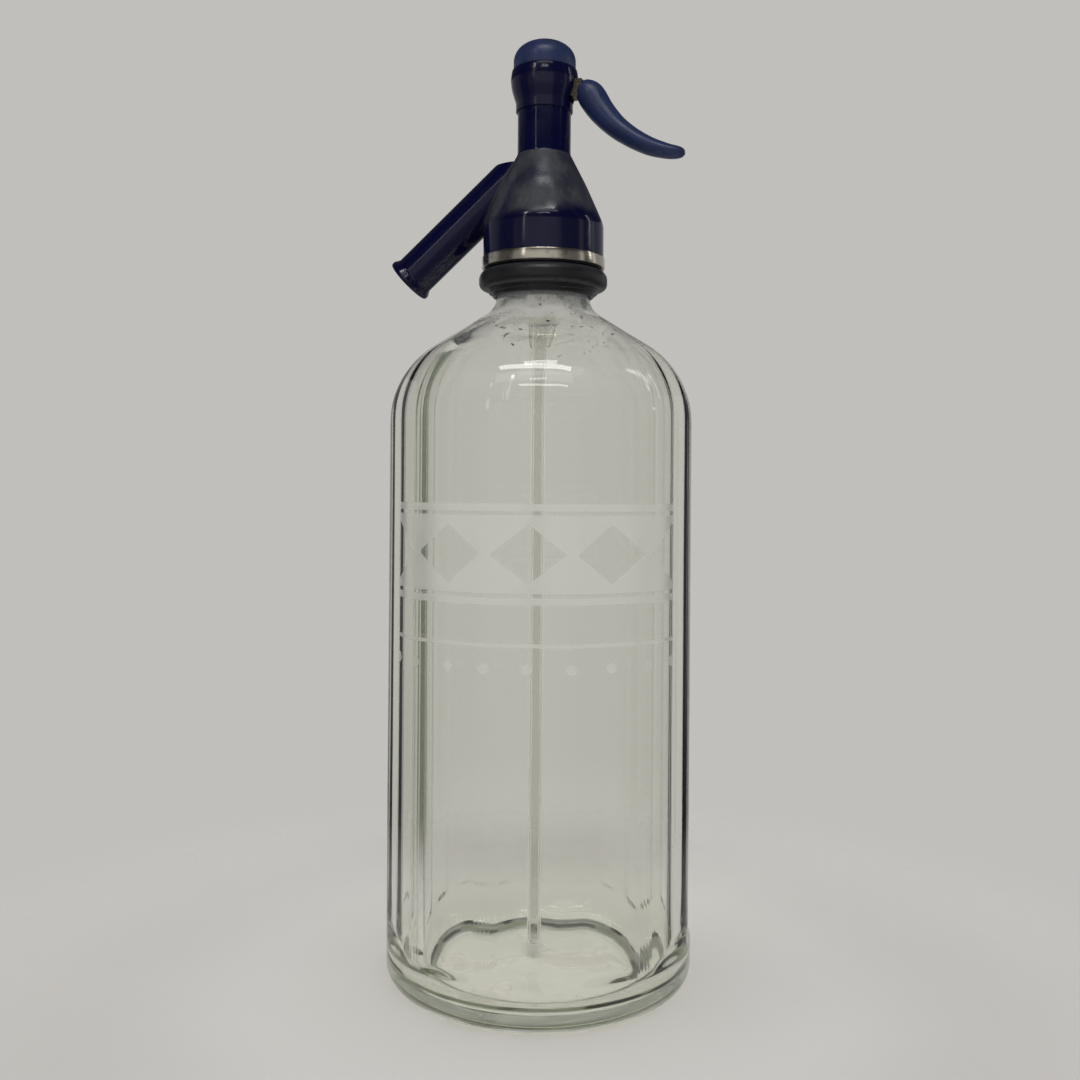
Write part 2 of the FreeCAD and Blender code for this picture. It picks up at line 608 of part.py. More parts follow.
def spout_root():
    """The knuckle that stands out of the bell behind the spout, cut level on top."""
    knuckle = along_spout(SPOUT_RADIUS, SPOUT_RADIUS, SPOUT_JOINT)
    below_top = block((-LARGE, LARGE), LARGE, (SKIRT_BOTTOM_Z, SPOUT_ROOT_TOP_Z))
    return knuckle.common(below_top)


def head_casing():
    socket_end = SPOUT_JOINT - SPIGOT_LENGTH - SPOUT_SEAL_THICKNESS
    socket = along_spout(SPIGOT_RADIUS + RUNNING_GAP, socket_end, SPOUT_LENGTH)
    port = along_spout(PORT_RADIUS, CHAMBER_RADIUS / 2, socket_end + OVERLAP)
    body = casing_outside().fuse(spout_root())
    body = body.cut(casing_inside())
    body = body.cut(lever_slot())
    return one_solid(body.cut(socket.fuse(port)))


def skirt_band():
    """The thin metal band that is rolled round the skirt's lower edge."""
    outer = SKIRT_RADIUS + BAND_THICKNESS
    top = SKIRT_BOTTOM_Z + BAND_HEIGHT
    return turned(
        [
            (SKIRT_RADIUS, SKIRT_BOTTOM_Z, 0),
            (outer, SKIRT_BOTTOM_Z, BAND_EDGE),
            (outer, top, BAND_EDGE),
            (SKIRT_RADIUS, top, 0),
        ]
    )


# ---- the spout ----------------------------------------------------------------------------------


def spout():
    """A straight tube with a flared lip, saddled on the bell, and a spigot that enters the head."""
    inner_start = SPOUT_JOINT - SPIGOT_LENGTH
    flare_start = SPOUT_LENGTH - SPOUT_FLARE_LENGTH
    lip_start = SPOUT_LENGTH - SPOUT_LIP_LENGTH
    sleeve = turned_on_spout(
        [
            (SPOUT_JOINT, SPOUT_BORE_RADIUS, 0),
            (SPOUT_JOINT, SPOUT_RADIUS, 0),
            (flare_start, SPOUT_RADIUS, SPOUT_FLARE_ROUND),
            (lip_start, SPOUT_LIP_RADIUS, SPOUT_LIP_EDGE),
            (SPOUT_LENGTH, SPOUT_LIP_RADIUS, SPOUT_MOUTH_EDGE),
            (SPOUT_LENGTH, SPOUT_BORE_RADIUS, SPOUT_MOUTH_ROUND),
        ]
    )
    core = turned_on_spout(
        [
            (inner_start, SPOUT_BORE_RADIUS, 0),
            (inner_start, SPIGOT_RADIUS, SPIGOT_EDGE),
            (flare_start, SPIGOT_RADIUS, 0),
            (flare_start, SPOUT_BORE_RADIUS, 0),
        ]
    )
    return one_solid(sleeve.cut(casing_outside(SEAM_GAP)).fuse(core))


def spout_seal():
    start = SPOUT_JOINT - SPIGOT_LENGTH - SPOUT_SEAL_THICKNESS
    end = SPOUT_JOINT - SPIGOT_LENGTH
    return turned_on_spout(
        [
            (start, SPOUT_SEAL_BORE, 0),
            (start, SPIGOT_RADIUS, 0),
            (end, SPIGOT_RADIUS, 0),
            (end, SPOUT_SEAL_BORE, 0),
        ]
    )


# ---- the valve ----------------------------------------------------------------------------------


def valve_seat():
    """A flanged bush with a raised lip round its bore, which the valve washer closes on."""
    flange_top = CHAMBER_FLOOR_Z + SEAT_FLANGE_HEIGHT
    return turned(
        [
            (SEAT_BORE_RADIUS, SEAT_FOOT_Z, SEAT_EDGE),
            (SEAT_BUSH_RADIUS, SEAT_FOOT_Z, 0),
            (SEAT_BUSH_RADIUS, CHAMBER_FLOOR_Z, 0),
            (CHAMBER_RADIUS - THREAD_GAP, CHAMBER_FLOOR_Z, 0),
            (CHAMBER_RADIUS - THREAD_GAP, flange_top, 0),
            (SEAT_BORE_RADIUS + SEAT_LIP_WIDTH, flange_top, 0),
            (SEAT_BORE_RADIUS + SEAT_LIP_WIDTH, SEAT_LIP_Z, 0),
            (SEAT_BORE_RADIUS, SEAT_LIP_Z, 0),
        ]
    )


def valve_washer():
    return ring(SCREW_RADIUS + RUNNING_GAP, WASHER_RADIUS, SEAT_LIP_Z, WASHER_TOP_Z)


def valve_cup():
    """The cup that holds the washer's rim and takes the spindle's foot."""
    rim_z = SEAT_LIP_Z + WASHER_STANDOUT
    socket_z = WASHER_TOP_Z + CUP_WEB
    return turned(
        [
            (SCREW_RADIUS + RUNNING_GAP, WASHER_TOP_Z, 0),
            (WASHER_RADIUS + RUNNING_GAP, WASHER_TOP_Z, 0),
            (WASHER_RADIUS + RUNNING_GAP, rim_z, 0),
            (CUP_RADIUS, rim_z, CUP_RIM_EDGE),
            (CUP_RADIUS, socket_z, CUP_SHOULDER_ROUND),
            (SPINDLE_RADIUS + CUP_SOCKET_WALL, socket_z, CUP_WAIST_ROUND),
            (SPINDLE_RADIUS + CUP_SOCKET_WALL, CUP_TOP_Z, CUP_TOP_EDGE),
            (SPINDLE_RADIUS, CUP_TOP_Z, 0),
            (SPINDLE_RADIUS, socket_z, 0),
            (SCREW_RADIUS + RUNNING_GAP, socket_z, 0),
        ]
    )


def cup_screw():
    """The slotted screw that holds washer and cup to the spindle, its head inside the seat."""
    head_z = SEAT_LIP_Z - SCREW_HEAD_HEIGHT
    top = WASHER_TOP_Z + CUP_WEB + SCREW_GRIP
    screw = turned(
        [
            (0, head_z, 0),
            (SCREW_HEAD_RADIUS, head_z, SCREW_HEAD_EDGE),
            (SCREW_HEAD_RADIUS, SEAT_LIP_Z, 0),
            (SCREW_RADIUS, SEAT_LIP_Z, 0),
            (SCREW_RADIUS, top, SCREW_TIP_EDGE),
            (0, top, 0),
        ]
    )
    slot_depth = SCREW_HEAD_HEIGHT / 2
    slot = block((-LARGE, LARGE), SCREW_SLOT / 2, (head_z - OVERLAP, head_z + slot_depth))
    return one_solid(screw.cut(slot))


def spindle():
    """The rod that joins the valve to the lever: a thin neck for the fork, a flange to lift by."""
    foot_z = WASHER_TOP_Z + CUP_WEB
    rod = turned(
        [
            (0, foot_z, 0),
            (SPINDLE_RADIUS, foot_z, 0),
            (SPINDLE_RADIUS, SPINDLE_NECK_Z, SPINDLE_NECK_EDGE),
            (SPINDLE_NECK_RADIUS, SPINDLE_NECK_Z, 0),
            (SPINDLE_NECK_RADIUS, LIFT_FLANGE_Z, 0),
            (LIFT_FLANGE_RADIUS, LIFT_FLANGE_Z, LIFT_FLANGE_EDGE),
            (LIFT_FLANGE_RADIUS, SPRING_FOOT_Z, LIFT_FLANGE_EDGE),
            (SPRING_GUIDE_RADIUS, SPRING_FOOT_Z, 0),
            (SPRING_GUIDE_RADIUS, SPRING_FOOT_Z + SPRING_GUIDE_HEIGHT, SPRING_GUIDE_EDGE),
            (0, SPRING_FOOT_Z + SPRING_GUIDE_HEIGHT, 0),
        ]
    )
    return one_solid(rod.cut(disc(SCREW_RADIUS, foot_z - OVERLAP, foot_z + SCREW_GRIP)))


def spindle_seal():
    """The rubber cup that keeps the water below the lever."""
    bore = SPINDLE_RADIUS + RUNNING_GAP
    lip = GLAND_LIP
    return turned(
        [
            (bore, GLAND_FOOT_Z, 0),
            (bore + lip, GLAND_FOOT_Z, GLAND_LIP_ROUND),
            (bore + lip, GLAND_FOOT_Z + lip, GLAND_LIP_ROUND),
            (GLAND_RADIUS - lip, GLAND_FOOT_Z + lip, GLAND_LIP_ROUND),
            (GLAND_RADIUS - lip, GLAND_FOOT_Z, GLAND_LIP_ROUND),
            (GLAND_RADIUS, GLAND_FOOT_Z, 0),
            (GLAND_RADIUS, GLAND_NUT_Z, 0),
            (bore, GLAND_NUT_Z, 0),
        ]
    )


def gland_nut():
    """The slotted nut that presses the spindle seal down."""
    top = GLAND_NUT_Z + GLAND_NUT_HEIGHT
    nut = ring(SPINDLE_RADIUS + RUNNING_GAP, GLAND_RADIUS, GLAND_NUT_Z, top)
    slot = block((-LARGE, LARGE), GLAND_NUT_SLOT / 2, (top - GLAND_NUT_SLOT, top + OVERLAP))
    return one_solid(nut.cut(slot))


# ---- the lever ----------------------------------------------------------------------------------


def pivot_block():
    """The metal block in the ball whose two cheeks carry the lever's pin."""
    foot = disc(BLOCK_FOOT_RADIUS, BLOCK_FOOT_Z, BLOCK_STEP_Z)
    body = foot.fuse(disc(BLOCK_RADIUS, BLOCK_STEP_Z, BLOCK_TOP_Z))
    slot = block((0, BLOCK_RADIUS + OVERLAP), BLOCK_SLOT_HALF, (BLOCK_SLOT_FLOOR_Z, LARGE))
    body = body.cut(slot)
    body = body.cut(disc(BLOCK_WELL_RADIUS, BLOCK_SLOT_FLOOR_Z, BLOCK_TOP_Z + OVERLAP))
    body = body.cut(disc(SPINDLE_RADIUS + SLIDING_GAP, BLOCK_FOOT_Z - OVERLAP, BLOCK_TOP_Z))
    return one_solid(body.cut(pin_cylinder(PIN_RADIUS, BLOCK_RADIUS)))


def pin_cylinder(radius, y_half):
    """A cylinder across the lever's pivot."""
    base = FreeCAD.Vector(PIN_X, -y_half, PIN_Z)
    return Part.makeCylinder(radius, 2 * y_half, base, FreeCAD.Vector(0, 1, 0))


def lever_pin():
    """The pin through the block's cheeks, its ends dressed just under the block's round side."""
    dressed = disc(BLOCK_RADIUS - PIN_END_ROOM, BLOCK_STEP_Z, BLOCK_TOP_Z)
    return one_solid(pin_cylinder(PIN_RADIUS, BLOCK_RADIUS).common(dressed))


def arm_outline():
    """The metal arm from its fork, past the pin, to the tang inside the grip."""
    tip_left = -TINE_TIP_RADIUS
    tip_bottom = ARM_MIDDLE_Z - TINE_TIP_RADIUS
    tip_round = TINE_TIP_RADIUS * NEARLY_ALL
    bend_x, bend_z = GRIP_STATIONS[TANG_BEND_STATION][:2]
    end_x, end_z = GRIP_STATIONS[TANG_END_STATION][:2]
    return [
        (tip_left, TINE_TOP_Z, tip_round),
        (LIFT_FLANGE_RADIUS + SLIDING_GAP, TINE_TOP_Z, TINE_EDGE),
        (PIN_X - PIN_RADIUS / 2, ARM_TOP_Z, ARM_TOP_ROUND),
        (ARM_REACH_X, ARM_TOP_Z, ARM_TOP_ROUND),
        (bend_x + TANG_ABOVE_BEND[0], bend_z + TANG_ABOVE_BEND[1], TANG_BEND_ROUND),
        (end_x + TANG_HALF, end_z + TANG_HALF, TANG_END_ROUND),
        (end_x - TANG_HALF, end_z - TANG_HALF, TANG_END_ROUND),
        (bend_x + TANG_BELOW_BEND[0], bend_z + TANG_BELOW_BEND[1], TANG_BEND_ROUND),
        (ARM_LOWER_REACH_X, ARM_BOTTOM_Z, ARM_LOWER_ROUND),
        (PIN_X, ARM_BOTTOM_Z, TANG_BEND_ROUND),
        (tip_left, tip_bottom, tip_round),
    ]


def lever_arm():
    """The arm: forked round the spindle's neck, full width at the pin, thinner inside the grip."""
    arm = plate(arm_outline(), ARM_WIDTH / 2)
    tang_zone = block((ARM_REACH_X, LARGE), ARM_WIDTH, (0, LARGE))
    tang = arm.common(tang_zone).common(block((0, LARGE), TANG_WIDTH / 2, (0, LARGE)))
    arm = arm.cut(tang_zone).fuse(tang)
    fork_end = PIN_X - PIN_RADIUS - FORK_ROOT_WALL
    arm = arm.cut(block((-LARGE, fork_end), SPINDLE_NECK_RADIUS + SLIDING_GAP, (0, LARGE)))
    return one_solid(arm.cut(pin_cylinder(PIN_RADIUS + RUNNING_GAP, ARM_WIDTH)))


def grip_section(station, direction):
    """An oval wire across the grip's middle line."""
    x, z, half_thickness, half_width = station
    across = FreeCAD.Vector(0, 1, 0)
    upward = direction.cross(across).normalize()
    if half_thickness >= half_width:
        major, minor = upward * half_thickness, across * half_width
    else:
        major, minor = across * half_width, upward * half_thickness
    centre = at(x, z)
    return Part.Wire(Part.Ellipse(centre + major, centre + minor, centre).toShape())


def lever_grip():
    """The moulded grip: oval sections lofted along a curve that sweeps out and down."""
    sections = []
    for i, station in enumerate(GRIP_STATIONS):
        before = GRIP_STATIONS[max(i - 1, 0)]
        after = GRIP_STATIONS[min(i + 1, len(GRIP_STATIONS) - 1)]
        direction = at(after[0] - before[0], after[1] - before[1]).normalize()
        sections.append(grip_section(station, direction))
    body = Part.makeLoft(sections, True, False)
    return one_solid(body.cut(lever_arm()))


# ---- spring and cap -----------------------------------------------------------------------------


def return_spring():
    """A coil spring with its wire swept along a helix, between the spindle's flange and the cap."""
    bottom = SPRING_FOOT_Z + SPRING_WIRE_RADIUS
    height = SPRING_TOP_Z - SPRING_WIRE_RADIUS - bottom
    helix = Part.makeHelix(height / SPRING_TURNS, height, SPRING_MEAN_RADIUS)
    helix.translate(at(0, bottom))
    start = FreeCAD.Vector(SPRING_MEAN_RADIUS, 0, bottom)
    circle = Part.makeCircle(SPRING_WIRE_RADIUS, start, FreeCAD.Vector(0, 1, 0))
    return Part.Wire(helix).makePipeShell([Part.Wire(circle)], True, True)


def dome_cap():
    """The domed cap: a spigot that screws into the ball and a well that holds the spring."""
    body = turned(
        [
            (0, BALL_RIM_Z, 0),
            (CAP_RADIUS, BALL_RIM_Z, 0),
            (CAP_RADIUS, BALL_RIM_Z + CAP_SHOULDER_HEIGHT, CAP_SHOULDER_ROUND),
            (CAP_CROWN_RADIUS, CAP_TOP_Z, CAP_CROWN_ROUND),
            (0, CAP_TOP_Z, 0),
        ]
    )
    spigot_foot = BLOCK_TOP_Z + CAP_SPIGOT_GAP
    spigot = disc(BLOCK_RADIUS, spigot_foot, BALL_RIM_Z + OVERLAP)
    hollow = turned(
        [
            (0, spigot_foot - OVERLAP, 0),
            (BLOCK_RADIUS - CAP_SPIGOT_WALL, spigot_foot - OVERLAP, 0),
            (BLOCK_RADIUS - CAP_SPIGOT_WALL, BALL_RIM_Z, CAP_WELL_ROUND),
            (CAP_WELL_RADIUS, BALL_RIM_Z + CAP_WELL_STEP, CAP_WELL_ROUND),
            (CAP_WELL_RADIUS, SPRING_TOP_Z, CAP_WELL_TOP_ROUND),
            (0, SPRING_TOP_Z, 0),
        ]
    )
    return one_solid(body.fuse(spigot).cut(hollow))


NODES = {
    "bottle": bottle,
    "bottle_seal": bottle_seal,
    "split_bush_front": lambda: split_bush(1),
    "split_bush_back": lambda: split_bush(-1),
    "clamp_collar": clamp_collar,
    "dip_tube": dip_tube,
    "tube_gland": tube_gland,
    "tube_holder": tube_holder,
    "head_casing": head_casing,
    "skirt_band": skirt_band,
    "spout": spout,
    "spout_seal": spout_seal,
    "valve_seat": valve_seat,
    "valve_washer": valve_washer,
    "valve_cup": valve_cup,
    "cup_screw": cup_screw,
    "spindle": spindle,
    "spindle_seal": spindle_seal,
    "gland_nut": gland_nut,
    "pivot_block": pivot_block,
    "lever_pin": lever_pin,
    "lever_arm": lever_arm,
    "lever_grip": lever_grip,
    "return_spring": return_spring,
    "dome_cap": dome_cap,
}

os.makedirs("parts", exist_ok=True)
for name, make in NODES.items():
    shape = make()
    shape.exportStep(os.path.join("parts", name + ".step"))
    print(name, len(shape.Solids), shape.isValid(), round(shape.Volume, 1))
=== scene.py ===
import math

import bpy
from mathutils import Matrix, Vector
from mathutils.geometry import interpolate_bezier


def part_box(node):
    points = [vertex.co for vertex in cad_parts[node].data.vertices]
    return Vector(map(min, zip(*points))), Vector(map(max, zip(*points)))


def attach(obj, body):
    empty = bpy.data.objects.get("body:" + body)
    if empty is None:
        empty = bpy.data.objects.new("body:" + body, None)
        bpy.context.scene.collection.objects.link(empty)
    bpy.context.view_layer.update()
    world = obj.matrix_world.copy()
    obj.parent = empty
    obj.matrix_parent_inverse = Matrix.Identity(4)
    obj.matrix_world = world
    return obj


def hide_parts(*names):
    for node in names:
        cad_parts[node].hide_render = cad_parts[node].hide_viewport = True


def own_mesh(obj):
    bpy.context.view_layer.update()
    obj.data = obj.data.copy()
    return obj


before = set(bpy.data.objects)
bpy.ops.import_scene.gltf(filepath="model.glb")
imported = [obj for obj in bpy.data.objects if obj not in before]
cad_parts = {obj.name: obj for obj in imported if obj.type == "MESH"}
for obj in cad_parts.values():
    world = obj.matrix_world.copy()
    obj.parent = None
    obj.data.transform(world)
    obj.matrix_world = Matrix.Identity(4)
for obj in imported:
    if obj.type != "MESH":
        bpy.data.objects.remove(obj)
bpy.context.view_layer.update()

# A soda siphon: a panelled glass bottle under a moulded head with a lever, spout and nickel band.
# The origin is on the bottle's axis where it stands, +Z is up and +X is the way the lever reaches.
# Every height called a rise is measured from the foot of the clamp collar.

bl_info = {
    "name": "Soda siphon",
    "version": (1, 0, 0),
    "blender": (4, 5, 0),
    "location": "3D View > Sidebar > Siphon",
    "description": "Models a glass soda siphon with a moulded head, a lever and a spout",
    "category": "Object",
}

MM = 0.001
COLLAR_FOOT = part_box("clamp_collar")[0].z
BOTTLE_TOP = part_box("bottle")[1].z

FACET = math.radians(6)
SMALL_FACET = math.radians(22.5)
SMALL_ROUNDING = 2 * MM
SHARP_EDGE = math.radians(32)
ORIGIN = (0, 0, 0)

# Fixed sizes of the neck, the collar, the spout's socket, the panels' foot and the etching.
COLLAR_FLANGE = 2.4 * MM
GROOVE_LENGTH = 5.6 * MM
GROOVE_DEPTH = 1.5 * MM
BEAD_PROUD = 0.3 * MM
CAVITY_DROP = 0.9 * MM
FOOT_BLEND = 1.5 * MM
SOCKET_RADIUS = 5.55 * MM
ETCHED_MIDDLE = 143 * MM
ETCHED_RULE = 116 * MM
ETCHED_DOTS = 109 * MM


# ---- settings -----------------------------------------------------------------------------------


def srgb(red, green, blue):
    """A colour typed as 0 to 255, as the linear value that a shader takes."""
    parts = [value / 255 for value in (red, green, blue)]
    linear = [p / 12.92 if p <= 0.04045 else ((p + 0.055) / 1.055) ** 2.4 for p in parts]
    return (*linear, 1.0)


def length(name, description, millimetres):
    """A size that is typed here in millimetres and shown in Blender as a length."""
    return bpy.props.FloatProperty(
        name=name, description=description, default=millimetres * MM, unit="LENGTH", precision=5
    )


def angle(name, description, degrees):
    return bpy.props.FloatProperty(
        name=name, description=description, default=math.radians(degrees), unit="ROTATION"
    )


def colour(name, description, *parts):
    return bpy.props.FloatVectorProperty(
        name=name, description=description, default=srgb(*parts), size=4, subtype="COLOR",
        min=0.0, max=1.0,
    )


class SiphonBottleSettings(bpy.types.PropertyGroup):
    """The glass bottle."""

    panels: bpy.props.IntProperty(name="Panels", description="Flat panels on the body", default=12)
    turn: angle("Panel turn", "Angle of one ridge from the lever's side", -4.5)
    half_across: length("Half across panels", "From the axis to the middle of a panel", 49.5)
    ridge_round: length("Ridge rounding", "Radius of the soft ridge between two panels", 14.0)
    foot_radius: length("Foot radius", "Radius of the round foot below the panels", 50.6)
    panel_foot: length("Panel foot", "Height where the panels run out into the foot", 16.0)
    heel_round: length("Heel rounding", "Radius that rolls the foot under", 7.0)
    foot_ring: length("Foot ring", "Width of the ring that the bottle stands on", 6.0)
    push_up: length("Push-up", "Height of the hollow under the bottom", 2.0)
    shoulder_top: length("Shoulder height", "Height where panel and shoulder lines cross", 201.0)
    shoulder_round: length("Shoulder rounding", "Radius of the shoulder's bend", 31.0)
    shoulder_slope: angle("Shoulder slope", "Slope of the shoulder above its bend", 33.0)
    neck_radius: length("Neck radius", "Outside radius of the neck", 15.5)
    neck_bore: length("Neck bore", "Inside radius of the neck", 9.5)
    neck_round: length("Neck rounding", "Radius where the shoulder turns up into the neck", 8.0)
    wall: length("Wall", "Thickness of the glass in the body", 5.4)
    floor: length("Floor", "Thickness of the glass under the middle", 4.5)
    inner_heel: length("Inner heel", "Radius between the floor and the wall", 11.0)
    floor_dome: length("Floor dome", "How far the floor rises to its middle", 1.5)


class SiphonTubeSettings(bpy.types.PropertyGroup):
    """The dip tube and the sleeve that holds it."""

    radius: length("Radius", "Outside radius of the dip tube", 3.5)
    wall: length("Wall", "Thickness of the dip tube's glass", 1.4)
    holder_radius: length("Holder radius", "Outside radius of the sleeve", 6.3)
    holder_reach: length("Holder reach", "How far the sleeve hangs below its flange", 34.0)
    holder_taper: length("Holder taper", "Length of the sleeve's tapered foot", 9.0)


class SiphonHeadSettings(bpy.types.PropertyGroup):
    """Collar, casing, band and cap, from the clamp collar's foot upwards."""

    collar_bead: length("Collar bead radius", "Outside radius of the clamp collar", 21.5)
    collar_height: length("Collar height", "Height of the clamp collar's bead", 8.8)
    skirt_radius: length("Skirt radius", "Outside radius of the bell's skirt", 20.2)
    skirt_rise: length("Skirt rise", "Rise of the skirt's lower edge", 9.4)
    knee_rise: length("Knee rise", "Rise where the skirt bends into the cone", 24.3)
    knee_round: length("Knee rounding", "Radius of that bend", 8.0)
    break_radius: length("Cone break radius", "Radius where the cone steepens", 14.4)
    break_rise: length("Cone break rise", "Rise where the cone steepens", 37.2)
    break_round: length("Cone break rounding", "Radius of that bend", 30.0)
    stem_radius: length("Stem radius", "Outside radius of the stem", 8.95)
    stem_rise: length("Stem rise", "Rise of the stem's foot", 47.8)
    ball_foot_rise: length("Ball foot rise", "Rise of the step under the ball", 62.1)
    ball_foot_radius: length("Ball foot radius", "Radius of the ball's short skirt", 9.58)
    ball_foot_height: length("Ball foot height", "Height of the ball's short skirt", 2.9)
    ball_radius: length("Ball radius", "Radius where the ball's lines cross", 11.75)
    ball_rise: length("Ball rise", "Rise of the ball's widest place", 71.8)
    rim_radius: length("Rim radius", "Radius of the ball's rim under the cap", 10.9)
    rim_rise: length("Rim rise", "Rise of the ball's rim", 76.0)
    band_height: length("Band height", "Height of the metal band", 3.8)
    band_thickness: length("Band thickness", "Thickness of the metal band", 0.45)
    cap_radius: length("Cap radius", "Radius of the dome cap", 10.45)
    cap_height: length("Cap height", "Height of the dome above the ball's rim", 9.8)
    cap_shoulder: length("Cap shoulder", "Height where the dome's side and slope lines cross", 6.0)
    cap_crown: length("Cap crown", "Radius where the dome's slope and top lines cross", 5.4)


class SiphonSpoutSettings(bpy.types.PropertyGroup):
    """The spout, along a slanted line from the bottle's axis."""

    slope: angle("Slope", "Angle of the spout below level", 41.7)
    mouth_reach: length("Mouth reach", "From the axis to the middle of the mouth", 48.3)
    mouth_rise: length("Mouth rise", "Rise of the middle of the mouth", 7.2)
    radius: length("Radius", "Outside radius of the spout", 7.15)
    bore: length("Bore", "Inside radius of the spout", 4.5)
    lip_radius: length("Lip radius", "Outside radius of the flared lip", 8.2)
    lip_length: length("Lip length", "Length of the lip's rim", 1.4)
    flare_length: length("Flare length", "Length of the flare behind the lip", 3.2)
    joint: length("Joint", "Distance from the axis to the joint with the casing", 22.0)
    knuckle_rise: length("Knuckle rise", "Rise of the level top of the casing's knuckle", 44.7)


class SiphonLeverSettings(bpy.types.PropertyGroup):
    """The lever's slot, arm and return spring."""

    slot_half: length("Slot half width", "Half the width of the slot in the ball", 3.2)
    slot_low: length("Slot foot", "Rise of the slot's lower end", 64.7)
    slot_high: length("Slot top", "Rise of the slot's upper end", 72.7)
    spring_radius: length("Spring radius", "Middle radius of the return spring", 3.0)
    spring_wire: length("Spring wire", "Radius of the spring's wire", 0.4)
    spring_turns: bpy.props.IntProperty(name="Turns", description="Turns of the spring", default=6)


class SiphonColourSettings(bpy.types.PropertyGroup):
    """Colours of the finishes."""

    glass: colour("Glass", "Clear glass, seen square on", 251, 251, 249)
    # Partly the green of thick glass, partly painted dark edge shade; the world also uses it for
    # the dark that glass sees at its sides.
    glass_edge: colour("Glass edge", "Glass seen along its surface", 132, 146, 116)
    # Also the colour of the painted pale sheen over the shoulder.
    frost: colour("Frost", "Etched places on the glass", 244, 243, 236)
    worn_foot: colour("Worn foot", "Scuffed ring that the bottle stands on", 158, 163, 144)
    navy: colour("Casing", "Gloss plastic of casing and spout", 9, 10, 45)
    scuffed: colour("Scuffed casing", "Rubbed plastic on the cone", 62, 64, 69)
    blue: colour("Cap and grip", "Older blue plastic of cap and grip", 35, 48, 88)
    collar: colour("Collar", "Plastic of the clamp collar", 27, 27, 29)
    nickel: colour("Nickel", "Plating of the band", 238, 230, 212)
    # Darker than the worn plating's own colour: painted shade for the arm, which sits in shadow
    # between ball and grip.
    arm: colour("Arm", "Worn plating of the lever's arm", 104, 98, 84)
    brass: colour("Brass", "Turned brass of the valve", 196, 160, 96)
    steel: colour("Steel", "Spring, spindle and pin", 170, 170, 168)
    rubber: colour("Rubber", "Seals and washers", 30, 30, 31)
    pale_rubber: colour("Pale rubber", "Gland of the dip tube", 226, 222, 208)
    backdrop: colour("Backdrop", "Floor and background", 193, 191, 187)
    floor: colour("Floor", "Cloth of the floor", 226, 223, 218)


# ---- modelling ----------------------------------------------------------------------------------


def pick(piece):
    """Select one piece alone and make it the active one."""
    bpy.ops.object.select_all(action="DESELECT")
    piece.select_set(True)
    bpy.context.view_layer.objects.active = piece


def extrude(step):
    bpy.ops.mesh.extrude_region_move(TRANSFORM_OT_translate={"value": step})


def resize(factors, centre):
    bpy.ops.transform.resize(value=factors, center_override=centre)


def rounded(corners, closed=False):
    """Points along an outline of (radius, height, rounding) corners, with an arc at each."""
    points = []
    last = len(corners) - 1
    for i, (radius, height, rounding) in enumerate(corners):
        corner = Vector((radius, height))
        if rounding == 0 or (not closed and i in (0, last)):
            points.append(corner)
            continue
        back = (Vector(corners[i - 1][:2]) - corner).normalized()
        ahead = (Vector(corners[(i + 1) % len(corners)][:2]) - corner).normalized()
        half = back.angle(ahead) / 2
        centre = corner + (back + ahead).normalized() * (rounding / math.sin(half))
        start = corner + back * (rounding / math.tan(half)) - centre
        side = math.copysign(1, back.cross(start))
        sweep = math.pi - 2 * half
        steps = max(2, math.ceil(sweep / (FACET if rounding > SMALL_ROUNDING else SMALL_FACET)))
        for step in range(steps + 1):
            points.append(centre + Matrix.Rotation(side * sweep * step / steps, 2) @ start)
    return points


def divided(points, longest):
    """The same points with extra ones on stretches over a given length."""
    result = [points[0]]
    for before, after in zip(points, points[1:]):
        count = max(1, math.ceil((after - before).length / longest))
        result += [before.lerp(after, step / count) for step in range(1, count + 1)]
    return result


def add_ring(name, sides, radius, height, turn=0.0):
    """Start a piece as a level circle on the bottle's axis, in edit mode and selected."""
    bpy.ops.object.select_all(action="DESELECT")
    bpy.ops.mesh.primitive_circle_add(vertices=sides, radius=radius, rotation=(0, 0, turn))
    piece = bpy.context.active_object
    piece.name = piece.data.name = name
    bpy.ops.object.transform_apply(location=True, rotation=True, scale=True)
    bpy.ops.object.mode_set(mode="EDIT")
    bpy.ops.mesh.select_mode(type="VERT")
    bpy.ops.mesh.select_all(action="SELECT")
    bpy.ops.transform.translate(value=(0, 0, height))
    return piece


def raise_ring(step, scale, height):
    """Extrude the selected ring by an upright step and widen it."""
    extrude((0, 0, step))
    resize((scale, scale, 1), (0, 0, height))


def close_with_fan(step=ORIGIN):
    """Close the selected ring with a fan that meets at its middle, moved by a step."""
    extrude(step)
    bpy.ops.mesh.merge(type="CENTER")


def select_open_edges():
    bpy.ops.mesh.select_all(action="DESELECT")
    bpy.ops.mesh.select_non_manifold(
        extend=False, use_wire=False, use_boundary=True, use_multi_face=False,
        use_non_contiguous=False, use_verts=False,
    )


def leave_edit_mode():
    """Point all faces outwards and go back to object mode."""
    bpy.ops.mesh.select_all(action="SELECT")
    bpy.ops.mesh.normals_make_consistent(inside=False)
    bpy.ops.object.mode_set(mode="OBJECT")


def turned(name, points, sides=96):
    """A closed body turned about the axis from (radius, height) points. It closes at a pole where
    an end lies on the axis, and round to its start where neither does."""
    starts_on_axis = points[0].x == 0
    ends_on_axis = points[-1].x == 0
    rings = points[starts_on_axis : len(points) - ends_on_axis]
    piece = add_ring(name, sides, rings[0].x, rings[0].y)
    for before, after in zip(rings, rings[1:]):
        raise_ring(after.y - before.y, after.x / before.x, after.y)
    if ends_on_axis:
        close_with_fan((0, 0, points[-1].y - rings[-1].y))
    if starts_on_axis:
        select_open_edges()
        close_with_fan((0, 0, points[0].y - rings[0].y))
    if not (starts_on_axis or ends_on_axis):
        select_open_edges()
        bpy.ops.mesh.bridge_edge_loops()
    leave_edit_mode()
    return piece


